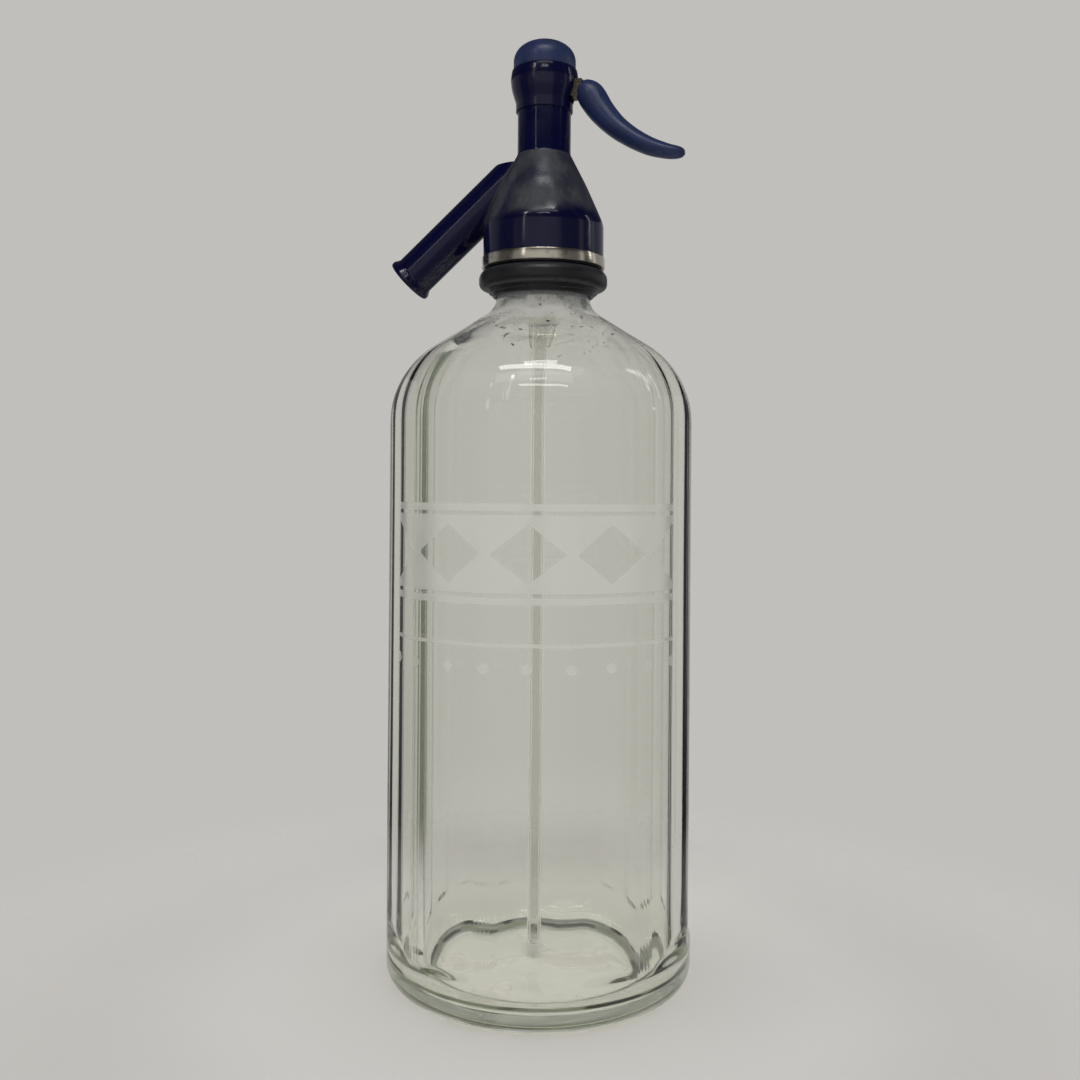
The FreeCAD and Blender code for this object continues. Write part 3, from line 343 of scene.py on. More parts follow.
def apply_modifier(piece, kind, **settings):
    pick(piece)
    bpy.ops.object.modifier_add(type=kind)
    modifier = piece.modifiers[-1]
    for key, value in settings.items():
        setattr(modifier, key, value)
    bpy.ops.object.modifier_apply(modifier=modifier.name)


def combine(piece, tool, operation):
    """Join a second body to a piece, or cut it away, and remove the second body."""
    apply_modifier(piece, "BOOLEAN", operation=operation, solver="EXACT", object=tool)
    bpy.data.objects.remove(tool)


def set_down(piece, matrix):
    """Move a piece by a matrix and keep its place in its mesh."""
    pick(piece)
    piece.matrix_world = matrix
    bpy.ops.object.transform_apply(location=True, rotation=True, scale=True)


def hand_over(piece, body, node, material):
    """Shade a finished piece, give it its material and let it stand for its node."""
    pick(piece)
    bpy.ops.object.shade_smooth_by_angle(angle=SHARP_EDGE)
    piece.data.materials.clear()
    piece.data.materials.append(material)
    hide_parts(node)
    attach(piece, body)


# ---- finishes -----------------------------------------------------------------------------------


class NodeTree:
    """Short calls for the shader nodes that the finishes share."""

    def __init__(self, owner):
        owner.use_nodes = True
        self.nodes = owner.node_tree.nodes
        self.links = owner.node_tree.links

    def put(self, node, socket, value):
        """Link a value that comes from a node, or set a plain one."""
        if isinstance(value, bpy.types.NodeSocket):
            self.links.new(value, node.inputs[socket])
        else:
            node.inputs[socket].default_value = value

    def add(self, kind, inputs, output=0, **settings):
        node = self.nodes.new(kind)
        for key, value in settings.items():
            setattr(node, key, value)
        for socket, value in inputs.items():
            self.put(node, socket, value)
        return node.outputs[output]

    def math(self, operation, a, b=0.0, c=0.0):
        return self.add("ShaderNodeMath", {0: a, 1: b, 2: c}, operation=operation)

    def chain(self, operation, first, *others):
        """One value out of several, taken in by the same operation one after the other."""
        for other in others:
            first = self.math(operation, first, other)
        return first

    def product(self, *values):
        return self.chain("MULTIPLY", *values)

    def highest(self, *values):
        return self.chain("MAXIMUM", *values)

    def total(self, *values):
        return self.chain("ADD", *values)

    def less(self, a, b):
        return self.math("SUBTRACT", a, b)

    def unsigned(self, value):
        return self.math("ABSOLUTE", value)

    def hypotenuse(self, x, y):
        """The length of a line that goes x one way and y square to it."""
        return self.math("SQRT", self.total(self.math("POWER", x, 2.0), self.math("POWER", y, 2.0)))

    def spread(self, value, low, high, start=0.0, end=1.0):
        """A value eased from start to end as it goes from low to high."""
        inputs = {"Value": value, "From Min": low, "From Max": high, "To Min": start, "To Max": end}
        return self.add("ShaderNodeMapRange", inputs, interpolation_type="SMOOTHSTEP")

    def within(self, value, middle, reach, edge):
        """One where a value is within reach of the middle, falling to nought over an edge."""
        distance = self.unsigned(self.less(value, middle))
        return self.spread(distance, reach - edge, reach + edge, 1.0, 0.0)

    def bands(self, value, stops):
        """Greys in even steps over a value from nought to one, from (place, brightness) stops."""
        ramp = self.nodes.new("ShaderNodeValToRGB")
        self.links.new(value, ramp.inputs[0])
        elements = ramp.color_ramp.elements
        while len(elements) < len(stops):
            elements.new(1.0)
        for element, (place, brightness) in zip(elements, stops):
            element.position = place
            element.color = (brightness, brightness, brightness, 1.0)
        return ramp.outputs[0]

    def mix(self, factor, a, b):
        return self.add("ShaderNodeMix", {0: factor, 6: a, 7: b}, output=2, data_type="RGBA")

    def scaled(self, tone, share):
        return self.add("ShaderNodeVectorMath", {0: tone, "Scale": share}, operation="SCALE")


class Finish(NodeTree):
    """A material with one Principled shader, patterned on the piece's own coordinates."""

    def __init__(self, name, base, roughness, metallic=0.0):
        self.material = bpy.data.materials.new(name)
        super().__init__(self.material)
        self.shader = self.nodes["Principled BSDF"]
        self.surface = self.nodes["Material Output"]
        self.place = self.add("ShaderNodeTexCoord", {}, output=3)
        self.set("Base Color", base)
        self.set("Roughness", roughness)
        self.set("Metallic", metallic)

    def set(self, socket, value):
        self.put(self.shader, socket, value)

    def noise(self, scale, detail=3.0, stretch=(1, 1, 1)):
        where = self.place
        if stretch != (1, 1, 1):
            where = self.add("ShaderNodeMapping", {"Vector": where, "Scale": stretch})
        return self.add("ShaderNodeTexNoise", {"Vector": where, "Scale": scale, "Detail": detail})

    def axes(self):
        parts = self.nodes.new("ShaderNodeSeparateXYZ")
        self.links.new(self.place, parts.inputs[0])
        return parts.outputs

    def bump(self, height, depth):
        """Relief of a given depth in metres, on top of any that is there."""
        inputs = {"Height": height, "Distance": depth, "Strength": 1.0}
        normal = self.shader.inputs["Normal"]
        if normal.is_linked:
            inputs["Normal"] = normal.links[0].from_socket
        self.set("Normal", self.add("ShaderNodeBump", inputs))

    def see_through(self, share):
        """Let the surface be clear by a share."""
        clear = self.nodes.new("ShaderNodeBsdfTransparent")
        blend = self.nodes.new("ShaderNodeMixShader")
        self.put(blend, 0, share)
        self.put(blend, 1, self.shader.outputs[0])
        self.put(blend, 2, clear.outputs[0])
        self.put(self.surface, "Surface", blend.outputs[0])

    def lighten_shadow(self, share):
        """Let a share of the light through where the glass would cast a shadow."""
        ray = self.nodes.new("ShaderNodeLightPath").outputs
        self.see_through(self.product(ray["Is Shadow Ray"], share))


def toned(tone, share):
    """A colour with its brightness multiplied by a share."""
    return (*[part * share for part in tone[:3]], 1.0)


def etched_pattern(finish, bottle, x, y, z, radius):
    """Lozenges in a band between lines, a rule and a row of dots below, worn thin in places."""
    outside = finish.spread(radius, bottle.half_across - 3 * MM, bottle.half_across - 2 * MM)
    pitch = 2 * math.pi / bottle.panels
    front = bottle.turn - 2.5 * pitch
    along = finish.math("DIVIDE", finish.less(finish.math("ARCTAN2", y, x), front), pitch)
    off_middle = finish.unsigned(finish.less(z, ETCHED_MIDDLE))
    band = finish.within(z, ETCHED_MIDDLE, 15 * MM, 0.15 * MM)
    lines = finish.within(off_middle, 12.2 * MM, 0.6 * MM, 0.1 * MM)
    across = finish.product(finish.math("PINGPONG", along, 0.5), 2.3)
    upward = finish.math("DIVIDE", off_middle, 9 * MM)
    lozenge = finish.spread(finish.total(across, upward), 0.97, 1.03, 1.0, 0.0)
    panel = finish.product(band, finish.less(1.0, finish.highest(lines, lozenge)))
    rule = finish.within(z, ETCHED_RULE, 0.6 * MM, 0.1 * MM)
    dot_across = finish.product(finish.math("PINGPONG", along, 0.25), 26 * MM)
    dot_distance = finish.hypotenuse(dot_across, finish.less(z, ETCHED_DOTS))
    dots = finish.spread(dot_distance, 1.5 * MM, 1.8 * MM, 1.0, 0.0)
    drawn = finish.highest(panel, rule, dots)
    ends = finish.within(along, 0.0, 2.02, 0.005)
    worn = finish.spread(finish.noise(90.0, 5.0), 0.30, 0.44, 0.72, 1.0)
    return finish.product(drawn, ends, outside, worn)


def bottle_glass(colours, bottle):
    """Clear, slightly green glass: etched in front, frosted and specked at the neck, scuffed below,
    with painted light: a pale sheen over the shoulder, shade just under the collar, dark edges and
    dark patches on the foot ring.
    """
    finish = Finish("clear_bottle_glass", colours.glass, 0.0)
    x, y, z = finish.axes()
    radius = finish.hypotenuse(x, y)

    near_collar = finish.spread(z, COLLAR_FOOT - 13 * MM, COLLAR_FOOT - 6 * MM)
    # Painted sheen: a pale haze rising over the shoulder towards the neck, standing in for light
    # reflected from above. The frosted marks near the collar are the glass's own.
    shoulder_sheen = finish.spread(z, bottle.shoulder_top, COLLAR_FOOT - 10 * MM, 0.0, 0.22)
    cloudy = finish.spread(finish.noise(130.0, 4.0), 0.35, 0.65, 0.2, 1.4)
    neck_frost_and_sheen = finish.product(finish.highest(near_collar, shoulder_sheen), cloudy)
    frost = finish.highest(etched_pattern(finish, bottle, x, y, z, radius), neck_frost_and_sheen)
    specks = finish.spread(finish.noise(300.0, 2.0), 0.66, 0.72)
    near_neck = finish.within(z, COLLAR_FOOT - 9 * MM, 8 * MM, 3 * MM)
    # Painted shade: a dark ring on the glass just under the collar's foot, where the collar's
    # shadow falls.
    collar_shade = finish.spread(z, COLLAR_FOOT - 1.5 * MM, COLLAR_FOOT - 1.1 * MM, 0.0, 0.8)
    # Real dark specks near the neck, together with the painted shade under the collar; both also
    # cloud the glass.
    specks_and_collar_shade = finish.highest(finish.product(specks, near_neck), collar_shade)

    ring = finish.product(
        finish.spread(z, 1.0 * MM, 4.0 * MM, 1.0, 0.0),
        finish.spread(radius, 37 * MM, 39 * MM),
        finish.spread(radius, 41 * MM, 43 * MM, 1.0, 0.0),
    )
    underside = finish.spread(z, 2.1 * MM, 2.6 * MM, 1.0, 0.0)
    rubbed = finish.spread(finish.noise(34.0, 2.0), 0.40, 0.50, 0.0, 0.4)
    # The foot ring is scuffed grey-green; its nearly black patches are painted shade standing in
    # for dark refractions of the inner bottom edge.
    patches = finish.spread(finish.noise(42.0, 2.0), 0.47, 0.55)
    worn_ring_and_shade = finish.mix(patches, colours.worn_foot, toned(colours.worn_foot, 0.1))

    # Painted shade at the edges: the glass turns dark green where it is seen along its surface,
    # partly the green of thick glass, partly painted dark edges.
    facing = finish.add("ShaderNodeLayerWeight", {"Blend": 0.5}, output=1)
    tint_and_edge_shade = finish.mix(finish.spread(facing, 0.72, 0.97), colours.glass, colours.glass_edge)
    tint_and_edge_shade = finish.mix(ring, tint_and_edge_shade, worn_ring_and_shade)
    tint_and_edge_shade = finish.mix(frost, tint_and_edge_shade, colours.frost)
    finish.set("Base Color", finish.mix(specks_and_collar_shade, tint_and_edge_shade, toned(colours.collar, 3.0)))
    finish.set("Roughness", finish.spread(frost, 0.0, 1.0, 0.0, 0.42))
    clouding = finish.highest(
        specks_and_collar_shade,
        finish.product(neck_frost_and_sheen, 0.36),
        finish.product(frost, 0.28),
        finish.product(ring, 0.85),
        finish.product(underside, rubbed),
    )
    finish.set("Transmission Weight", finish.less(1.0, clouding))
    finish.set("IOR", 1.5)
    finish.bump(finish.noise(38.0, 1.0, (1, 1, 0.35)), 0.12 * MM)
    green = (0.84, 0.855, 0.77, 1.0)
    absorb = finish.add("ShaderNodeVolumeAbsorption", {"Color": green, "Density": 30.0})
    finish.put(finish.surface, "Volume", absorb)
    finish.lighten_shadow(1.0)
    return finish.material


def tube_glass(colours):
    """The drawn glass of the dip tube, with faint lengthwise lines and painted light lines along
    its edges.
    """
    finish = Finish("drawn_tube_glass", colours.glass, 0.0)
    facing = finish.add("ShaderNodeLayerWeight", {"Blend": 0.5}, output=1)
    # Painted highlight: toward its edges the tube turns brighter and partly milky, showing as light
    # lines along its sides; its middle is a little darker.
    edge = finish.spread(facing, 0.38, 0.55)
    finish.set("Base Color", finish.mix(edge, toned(colours.glass, 0.93), colours.glass))
    finish.set("Transmission Weight", finish.less(1.0, finish.product(edge, 0.8)))
    finish.set("IOR", 1.12)
    finish.set("Roughness", finish.spread(finish.noise(220.0), 0.4, 0.8, 0.0, 0.06))
    finish.bump(finish.noise(700.0, 1.0, (1, 1, 0.02)), 0.02 * MM)
    finish.lighten_shadow(1.0)
    return finish.material


def holder_plastic(colours):
    """Clear plastic that has gone slightly milky."""
    finish = Finish("milky_plastic", colours.frost, 0.15)
    cloud = finish.noise(160.0, 4.0)
    finish.set("Base Color", finish.mix(cloud, colours.glass, colours.frost))
    finish.set("Roughness", finish.spread(cloud, 0.3, 0.7, 0.06, 0.22))
    finish.set("Transmission Weight", 0.9)
    finish.set("IOR", 1.15)
    finish.bump(finish.noise(500.0, 1.0, (1, 1, 0.1)), 0.02 * MM)
    finish.lighten_shadow(0.9)
    return finish.material


def gloss_navy(colours, head):
    """Gloss navy plastic, rubbed dull and grey on the cone, shared by casing and spout."""
    made_before = bpy.data.materials.get("gloss_navy")
    if made_before:
        return made_before
    finish = Finish("gloss_navy", colours.navy, 0.12)
    x, y, z = finish.axes()
    low = COLLAR_FOOT + head.knee_rise
    high = COLLAR_FOOT + head.stem_rise
    lift = finish.product(finish.less(finish.noise(95.0, 5.0), 0.5), 7 * MM)
    ragged = finish.total(z, lift, finish.product(x, -0.16))
    above = finish.spread(ragged, low - 0.5 * MM, low + 3.5 * MM)
    below = finish.spread(z, high - 0.4 * MM, high + 0.1 * MM, 1.0, 0.0)
    slope = (head.skirt_radius - head.stem_radius) / (high - low)
    cone = finish.total(finish.hypotenuse(x, y), finish.product(finish.less(z, low), slope))
    skirt = head.skirt_radius
    off_knuckle = finish.spread(cone, skirt + 0.6 * MM, skirt + 1.4 * MM, 1.0, 0.0)
    patches = finish.spread(finish.noise(85.0, 7.0, (1, 1, 0.6)), 0.34, 0.62, 0.25, 1.0)
    rubbed = finish.product(above, below, off_knuckle, patches)
    scratches = finish.noise(900.0, 3.0, (1, 1, 0.12))
    fine = finish.spread(scratches, 0.35, 0.7)
    scuff = finish.mix(fine, toned(colours.scuffed, 0.75), colours.scuffed)
    specks = finish.spread(finish.noise(1500.0, 1.0), 0.74, 0.78)
    uneven = finish.spread(finish.noise(30.0), 0.3, 0.7)
    tone = finish.mix(uneven, toned(colours.navy, 0.8), colours.navy)
    tone = finish.mix(rubbed, tone, scuff)
    finish.set("Base Color", finish.mix(finish.product(specks, 0.35), tone, colours.scuffed))
    polish = finish.spread(finish.noise(140.0, 5.0), 0.35, 0.75, 0.08, 0.20)
    finish.set("Roughness", finish.total(polish, finish.product(rubbed, 0.5)))
    finish.bump(finish.product(scratches, rubbed), 0.012 * MM)
    finish.bump(finish.noise(260.0, 2.0), 0.02 * MM)
    return finish.material


def worn_blue_plastic(name, colours):
    """The lighter blue of cap and grip, dulled by hands, with darker pores."""
    finish = Finish(name, colours.blue, 0.35)
    cloud = finish.noise(75.0, 5.0)
    tone = finish.mix(finish.spread(cloud, 0.3, 0.7), toned(colours.blue, 0.72), colours.blue)
    pores = finish.spread(finish.noise(1300.0, 1.0), 0.72, 0.78, 0.0, 0.6)
    finish.set("Base Color", finish.mix(pores, tone, toned(colours.blue, 0.25)))
    finish.set("Roughness", finish.spread(finish.noise(210.0, 5.0), 0.3, 0.7, 0.26, 0.44))
    finish.bump(finish.noise(620.0, 3.0), 0.02 * MM)
    return finish.material


def collar_plastic(colours):
    """Dull black plastic with dust on its upper faces."""
    finish = Finish("dusty_black_plastic", colours.collar, 0.4)
    normal = finish.add("ShaderNodeNewGeometry", {}, output=1)
    upward = finish.add("ShaderNodeSeparateXYZ", {0: normal}, output=2)
    dust = finish.product(finish.spread(upward, 0.2, 0.95), finish.noise(300.0, 5.0))
    finish.set("Base Color", finish.mix(dust, colours.collar, colours.scuffed))
    finish.set("Roughness", finish.spread(finish.noise(180.0, 4.0), 0.3, 0.7, 0.28, 0.5))
    finish.bump(finish.noise(800.0, 3.0), 0.03 * MM)
    return finish.material


def band_nickel(colours):
    """Nickel plate with fine turned lines and a little tarnish."""
    finish = Finish("turned_nickel", colours.nickel, 0.12, metallic=1.0)
    tarnish = finish.spread(finish.noise(260.0, 6.0), 0.48, 0.72, 0.0, 0.55)
    finish.set("Base Color", finish.mix(tarnish, colours.nickel, toned(colours.nickel, 0.45)))
    lines = finish.noise(240.0, 2.0, (1, 1, 30))
    finish.set("Roughness", finish.spread(lines, 0.3, 0.7, 0.10, 0.22))
    finish.bump(lines, 0.006 * MM)
    return finish.material


def turned_metal(name, tone, roughness, wear):
    """Plain metal with turning marks across the axis and stained patches."""
    finish = Finish(name, tone, roughness, metallic=1.0)
    stain = finish.spread(finish.noise(300.0, 5.0), 0.45, 0.7, 0.0, wear)
    finish.set("Base Color", finish.mix(stain, tone, toned(tone, 0.4)))
    lines = finish.noise(500.0, 2.0, (0.2, 0.2, 12))
    finish.set("Roughness", finish.spread(lines, 0.3, 0.7, roughness * 0.7, roughness * 1.3))
    finish.bump(lines, 0.01 * MM)
    return finish.material


def dull_moulding(name, tone, roughness):
    """Rubber or dark plastic with a fine moulded grain."""
    finish = Finish(name, tone, roughness)
    grain = finish.noise(900.0, 4.0)
    finish.set("Base Color", finish.mix(grain, toned(tone, 0.6), toned(tone, 1.3)))
    finish.set("Roughness", finish.spread(grain, 0.3, 0.7, roughness - 0.12, roughness + 0.1))
    finish.bump(grain, 0.03 * MM)
    return finish.material


# ---- the bottle and its tube --------------------------------------------------------------------


class SIPHON_OT_bottle(bpy.types.Operator):
    """Model the panelled glass bottle as one closed shell, over the lip and down to its floor"""

    bl_idname = "siphon.bottle"
    bl_label = "Bottle"

    def outside(self, bottle):
        """The outline above the panels' foot: body, shoulder, neck and lip."""
        slope = math.tan(bottle.shoulder_slope)
        neck_height = bottle.shoulder_top + (bottle.half_across - bottle.neck_radius) * slope
        groove_foot = COLLAR_FOOT + COLLAR_FLANGE
        bead_foot = groove_foot + GROOVE_LENGTH
        groove_radius = bottle.neck_radius - GROOVE_DEPTH
        bead_radius = bottle.neck_radius + BEAD_PROUD
        return rounded(
            [
                (bottle.half_across, 2 * bottle.panel_foot, 0),
                (bottle.half_across, bottle.shoulder_top, bottle.shoulder_round),
                (bottle.neck_radius, neck_height - 0.4 * MM, bottle.neck_round),
                (bottle.neck_radius, groove_foot, 0.5 * MM),
                (groove_radius, groove_foot + 1.0 * MM, 0.5 * MM),
                (groove_radius, bead_foot, 0),
                (bead_radius, bead_foot, 0.8 * MM),
                (bead_radius, BOTTLE_TOP, 1.6 * MM),
                (bottle.neck_bore, BOTTLE_TOP, 0),
            ]
        )

    def inside(self, bottle):
        """The outline of the hollow, from the lip down to the middle of the floor."""
        slope = math.tan(bottle.shoulder_slope)
        cavity = bottle.half_across - bottle.wall
        shoulder = bottle.shoulder_top - CAVITY_DROP
        neck_height = bottle.shoulder_top + (cavity - bottle.neck_bore) * slope - CAVITY_DROP
        rim = bottle.floor - bottle.floor_dome
        return rounded(
            [
                (bottle.neck_bore, BOTTLE_TOP, 0),
                (bottle.neck_bore, neck_height, bottle.neck_round),
                (cavity, shoulder, bottle.shoulder_round - bottle.wall),
                (cavity, rim, bottle.inner_heel),
                (cavity - bottle.inner_heel - 2 * MM, rim, 9 * MM),
                (0, bottle.floor, 0),
            ]
        )

    def underside(self, bottle):
        """The outline below the panels: the flare into the round foot, the heel and the push-up."""
        foot = bottle.foot_radius
        ring = foot - bottle.heel_round - bottle.foot_ring
        return rounded(
            [
                (bottle.half_across, 2 * bottle.panel_foot, 0),
                (bottle.half_across, bottle.panel_foot + 1.1 * MM, 2 * MM),
                (foot, bottle.panel_foot - 1.1 * MM, 2 * MM),
                (foot, 0, bottle.heel_round),
                (ring, 0, 1.5 * MM),
                (0, bottle.push_up, 0),
            ]
        )

    def lay_rings(self, points, flatness_at, flatness):
        """Carry the selected ring along an outline, rounding its panels off as it goes."""
        for before, after in zip(points, points[1:]):
            extrude((0, 0, after.y - before.y))
            wanted = min(flatness, flatness_at(after))
            share = 1 - wanted / flatness if flatness > 0 else 0
            if share > 0:
                bpy.ops.transform.tosphere(value=share, center_override=(0, 0, after.y))
            swell = 1 + flatness * share * self.mean_swell
            scale = after.x / (before.x * swell)
            resize((scale, scale, 1), (0, 0, after.y))
            flatness = wanted

    def execute(self, context):
        bottle = context.scene.siphon_bottle
        corner = bottle.half_across / math.cos(math.pi / bottle.panels)
        fillet = bottle.ridge_round * math.tan(math.pi / bottle.panels)
        start = 2 * bottle.panel_foot
        piece = add_ring("bottle_body", bottle.panels, corner, start, bottle.turn)
        bpy.ops.mesh.bevel(offset=fillet, offset_type="OFFSET", segments=6, affect="VERTICES")
        bpy.ops.object.mode_set(mode="OBJECT")
        points = piece.data.vertices
        for edge in piece.data.edges:
            a, b = (points[v].co for v in edge.vertices)
            edge.select = (a - b).length > fillet
        bpy.ops.object.mode_set(mode="EDIT")
        bpy.ops.mesh.select_mode(type="EDGE")
        bpy.ops.mesh.subdivide(number_cuts=7)
        bpy.ops.object.mode_set(mode="OBJECT")
        radii = [point.co.xy.length for point in piece.data.vertices]
        self.mean_swell = sum(radii) / len(radii) / bottle.half_across - 1
        bpy.ops.object.mode_set(mode="EDIT")
        bpy.ops.mesh.select_mode(type="VERT")
        bpy.ops.mesh.select_all(action="SELECT")

        round_within, flat_beyond = 22 * MM, 48.5 * MM

        def over_shoulder(point):
            share = (point.x - round_within) / (flat_beyond - round_within)
            return min(1.0, max(0.0, share))

        def into_foot(point):
            share = (point.y - bottle.panel_foot + FOOT_BLEND) / (2 * FOOT_BLEND)
            share = min(1.0, max(0.0, share))
            return share * share * (3 - 2 * share)

        outside = self.outside(bottle)
        rings = [outside[0]] + divided(outside[1:], 2.5 * MM)
        rings = rings + divided(self.inside(bottle), 40 * MM)[1:-1]
        self.lay_rings(rings, over_shoulder, 1.0)
        close_with_fan((0, 0, bottle.floor - rings[-1].y))
        select_open_edges()
        under = self.underside(bottle)
        rings = [under[0]] + divided(under[1:], 1.5 * MM)[:-1]
        self.lay_rings(rings, into_foot, 1.0)
        close_with_fan((0, 0, bottle.push_up - rings[-1].y))
        leave_edit_mode()
        material = bottle_glass(context.scene.siphon_colours, bottle)
        hand_over(piece, "root", "bottle", material)
        return {"FINISHED"}


class SIPHON_OT_dip_tube(bpy.types.Operator):
    """Model the glass dip tube and the tapered sleeve that holds it in the neck"""

    bl_idname = "siphon.dip_tube"
    bl_label = "Dip tube and holder"

    def execute(self, context):
        tube = context.scene.siphon_tube
        colours = context.scene.siphon_colours
        bore = tube.radius - tube.wall
        low, high = (corner.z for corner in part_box("dip_tube"))
        melted = tube.wall * 0.45
        outline = rounded(
            [(bore, low, melted), (tube.radius, low, melted), (tube.radius, high, melted),
             (bore, high, melted)],
            closed=True,
        )
        piece = turned("dip_tube_glass", outline, 64)
        hand_over(piece, "root", "dip_tube", tube_glass(colours))

        low, high = (corner.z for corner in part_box("tube_holder"))
        flange = low + tube.holder_reach
        flange_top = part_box("tube_gland")[1].z
        gland_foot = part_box("tube_gland")[0].z
        flange_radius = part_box("tube_holder")[1].x
        bore = tube.radius + 0.05 * MM
        gland = tube.radius + 0.85 * MM
        outline = rounded(
            [
                (bore, low, 0),
                (bore + 0.75 * MM, low, 0.3 * MM),
                (tube.holder_radius, low + tube.holder_taper, 2 * MM),
                (tube.holder_radius, flange, 0),
                (flange_radius, flange, 0),
                (flange_radius, flange_top, 0),
                (5.5 * MM, flange_top, 0),
                (5.5 * MM, high, 0.3 * MM),
                (bore, high, 0),
                (bore, flange_top, 0),
                (gland, flange_top, 0),
                (gland, gland_foot, 0),
                (bore, gland_foot, 0),
            ],
            closed=True,
        )
        piece = turned("holder_sleeve", outline, 72)
        hand_over(piece, "root", "tube_holder", holder_plastic(colours))
        return {"FINISHED"}


# ---- the head -----------------------------------------------------------------------------------


class SIPHON_OT_collar(bpy.types.Operator):
    """Model the clamp collar: its round bead, stepped underside and sleeve"""

    bl_idname = "siphon.collar"
    bl_label = "Clamp collar"

    def execute(self, context):
        head = context.scene.siphon_head
        bottle = context.scene.siphon_bottle
        foot = COLLAR_FOOT
        top = foot + head.collar_height
        skirt = foot + head.skirt_rise
        bore = bottle.neck_radius + 0.3 * MM
        step_inner = bore + 1.2 * MM
        step_outer = step_inner + 1.2 * MM
        sleeve = head.skirt_radius - 1.6 * MM
        sleeve_bore = sleeve - 1.5 * MM
        sleeve_top = skirt + 7.8 * MM
        ledge = foot + COLLAR_FLANGE
        outline = rounded(
            [
                (bore, foot, 0.3 * MM),
                (step_inner, foot, 0.4 * MM),
                (step_inner, foot + 1.1 * MM, 0.2 * MM),
                (step_outer, foot + 1.1 * MM, 0.4 * MM),
                (step_outer + 0.2 * MM, ledge, 0.2 * MM),
                (step_outer + 1.2 * MM, ledge, 0.5 * MM),
                (head.collar_bead, foot + 2.9 * MM, 2.0 * MM),
                (head.collar_bead, top, 3.0 * MM),
                (sleeve - 0.6 * MM, top, 0),
                (sleeve - 0.6 * MM, skirt - 0.3 * MM, 0),
                (head.skirt_radius - 0.6 * MM, skirt - 0.3 * MM, 0),
                (head.skirt_radius - 0.6 * MM, skirt, 0),
                (sleeve, skirt, 0),
                (sleeve, sleeve_top, 0.4 * MM),
                (sleeve_bore, sleeve_top, 0.4 * MM),
                (sleeve_bore, ledge, 0),
                (bore, ledge, 0),
            ],
            closed=True,
        )
        piece = turned("collar_ring", outline, 128)
        material = collar_plastic(context.scene.siphon_colours)
        hand_over(piece, "root", "clamp_collar", material)
        return {"FINISHED"}


def casing_outline(head, margin=0.0):
    """Bell, stem and ball as one full outline that closes on the axis, grown by a margin."""
    skirt = COLLAR_FOOT + head.skirt_rise
    ball_foot = COLLAR_FOOT + head.ball_foot_rise
    rim = COLLAR_FOOT + head.rim_rise
    corners = [
        (head.skirt_radius, skirt, 0.2 * MM),
        (head.skirt_radius, COLLAR_FOOT + head.knee_rise, head.knee_round),
        (head.break_radius, COLLAR_FOOT + head.break_rise, head.break_round),
        (head.stem_radius, COLLAR_FOOT + head.stem_rise, 1.0 * MM),
        (head.stem_radius, ball_foot, 0),
        (head.ball_foot_radius, ball_foot, 0.3 * MM),
        (head.ball_foot_radius, ball_foot + head.ball_foot_height, 4.0 * MM),
        (head.ball_radius, COLLAR_FOOT + head.ball_rise, 14.0 * MM),
        (head.rim_radius, rim, 0.25 * MM),
    ]
    grown = [(radius + margin, height, rounding) for radius, height, rounding in corners]
    return rounded([(0, skirt, 0)] + grown + [(0, rim, 0)])


def hollow_outline(context):
    """Every turned space inside the casing, from below the skirt to above the ball's rim."""
    head = context.scene.siphon_head
    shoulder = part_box("tube_gland")[1].z
    seat_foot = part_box("valve_seat")[0].z
    chamber = seat_foot + 8 * MM
    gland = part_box("spindle_seal")[0].z
    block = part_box("pivot_block")[0].z
    block_step = COLLAR_FOOT + 67.4 * MM
    past_end = 1 * MM
    steps = [
        (head.skirt_radius - 1.5 * MM, COLLAR_FOOT + head.skirt_rise - past_end, shoulder),
        (SOCKET_RADIUS, shoulder, shoulder + 6 * MM),
        (3.55 * MM, shoulder + 6 * MM, seat_foot),
        (4.4 * MM, seat_foot, chamber),
        (5.5 * MM, chamber, gland),
        (6.2 * MM, gland, block),
        (7.4 * MM, block, block_step),
        (8.6 * MM, block_step, COLLAR_FOOT + head.rim_rise + past_end),
    ]
    points = [Vector((0, steps[0][1]))]
    for radius, low, high in steps:
        points += [Vector((radius, low)), Vector((radius, high))]
    return points + [Vector((0, steps[-1][2]))]


def spout_line(spout):
    """The matrix that stands the upright axis on the spout's line, and the line's length."""
    length_along = spout.mouth_reach / math.cos(spout.slope)
    top = COLLAR_FOOT + spout.mouth_rise + spout.mouth_reach * math.tan(spout.slope)
    direction = Vector((-math.cos(spout.slope), 0, -math.sin(spout.slope)))
    turn = Vector((0, 0, 1)).rotation_difference(direction).to_matrix().to_4x4()
    return Matrix.Translation((0, 0, top)) @ turn, length_along


def rod(name, radius, start, end, sides=64):
    """A plain round tool, used only to cut or to join."""
    corners = ((0, start), (radius, start), (radius, end), (0, end))
    return turned(name, [Vector(corner) for corner in corners], sides)


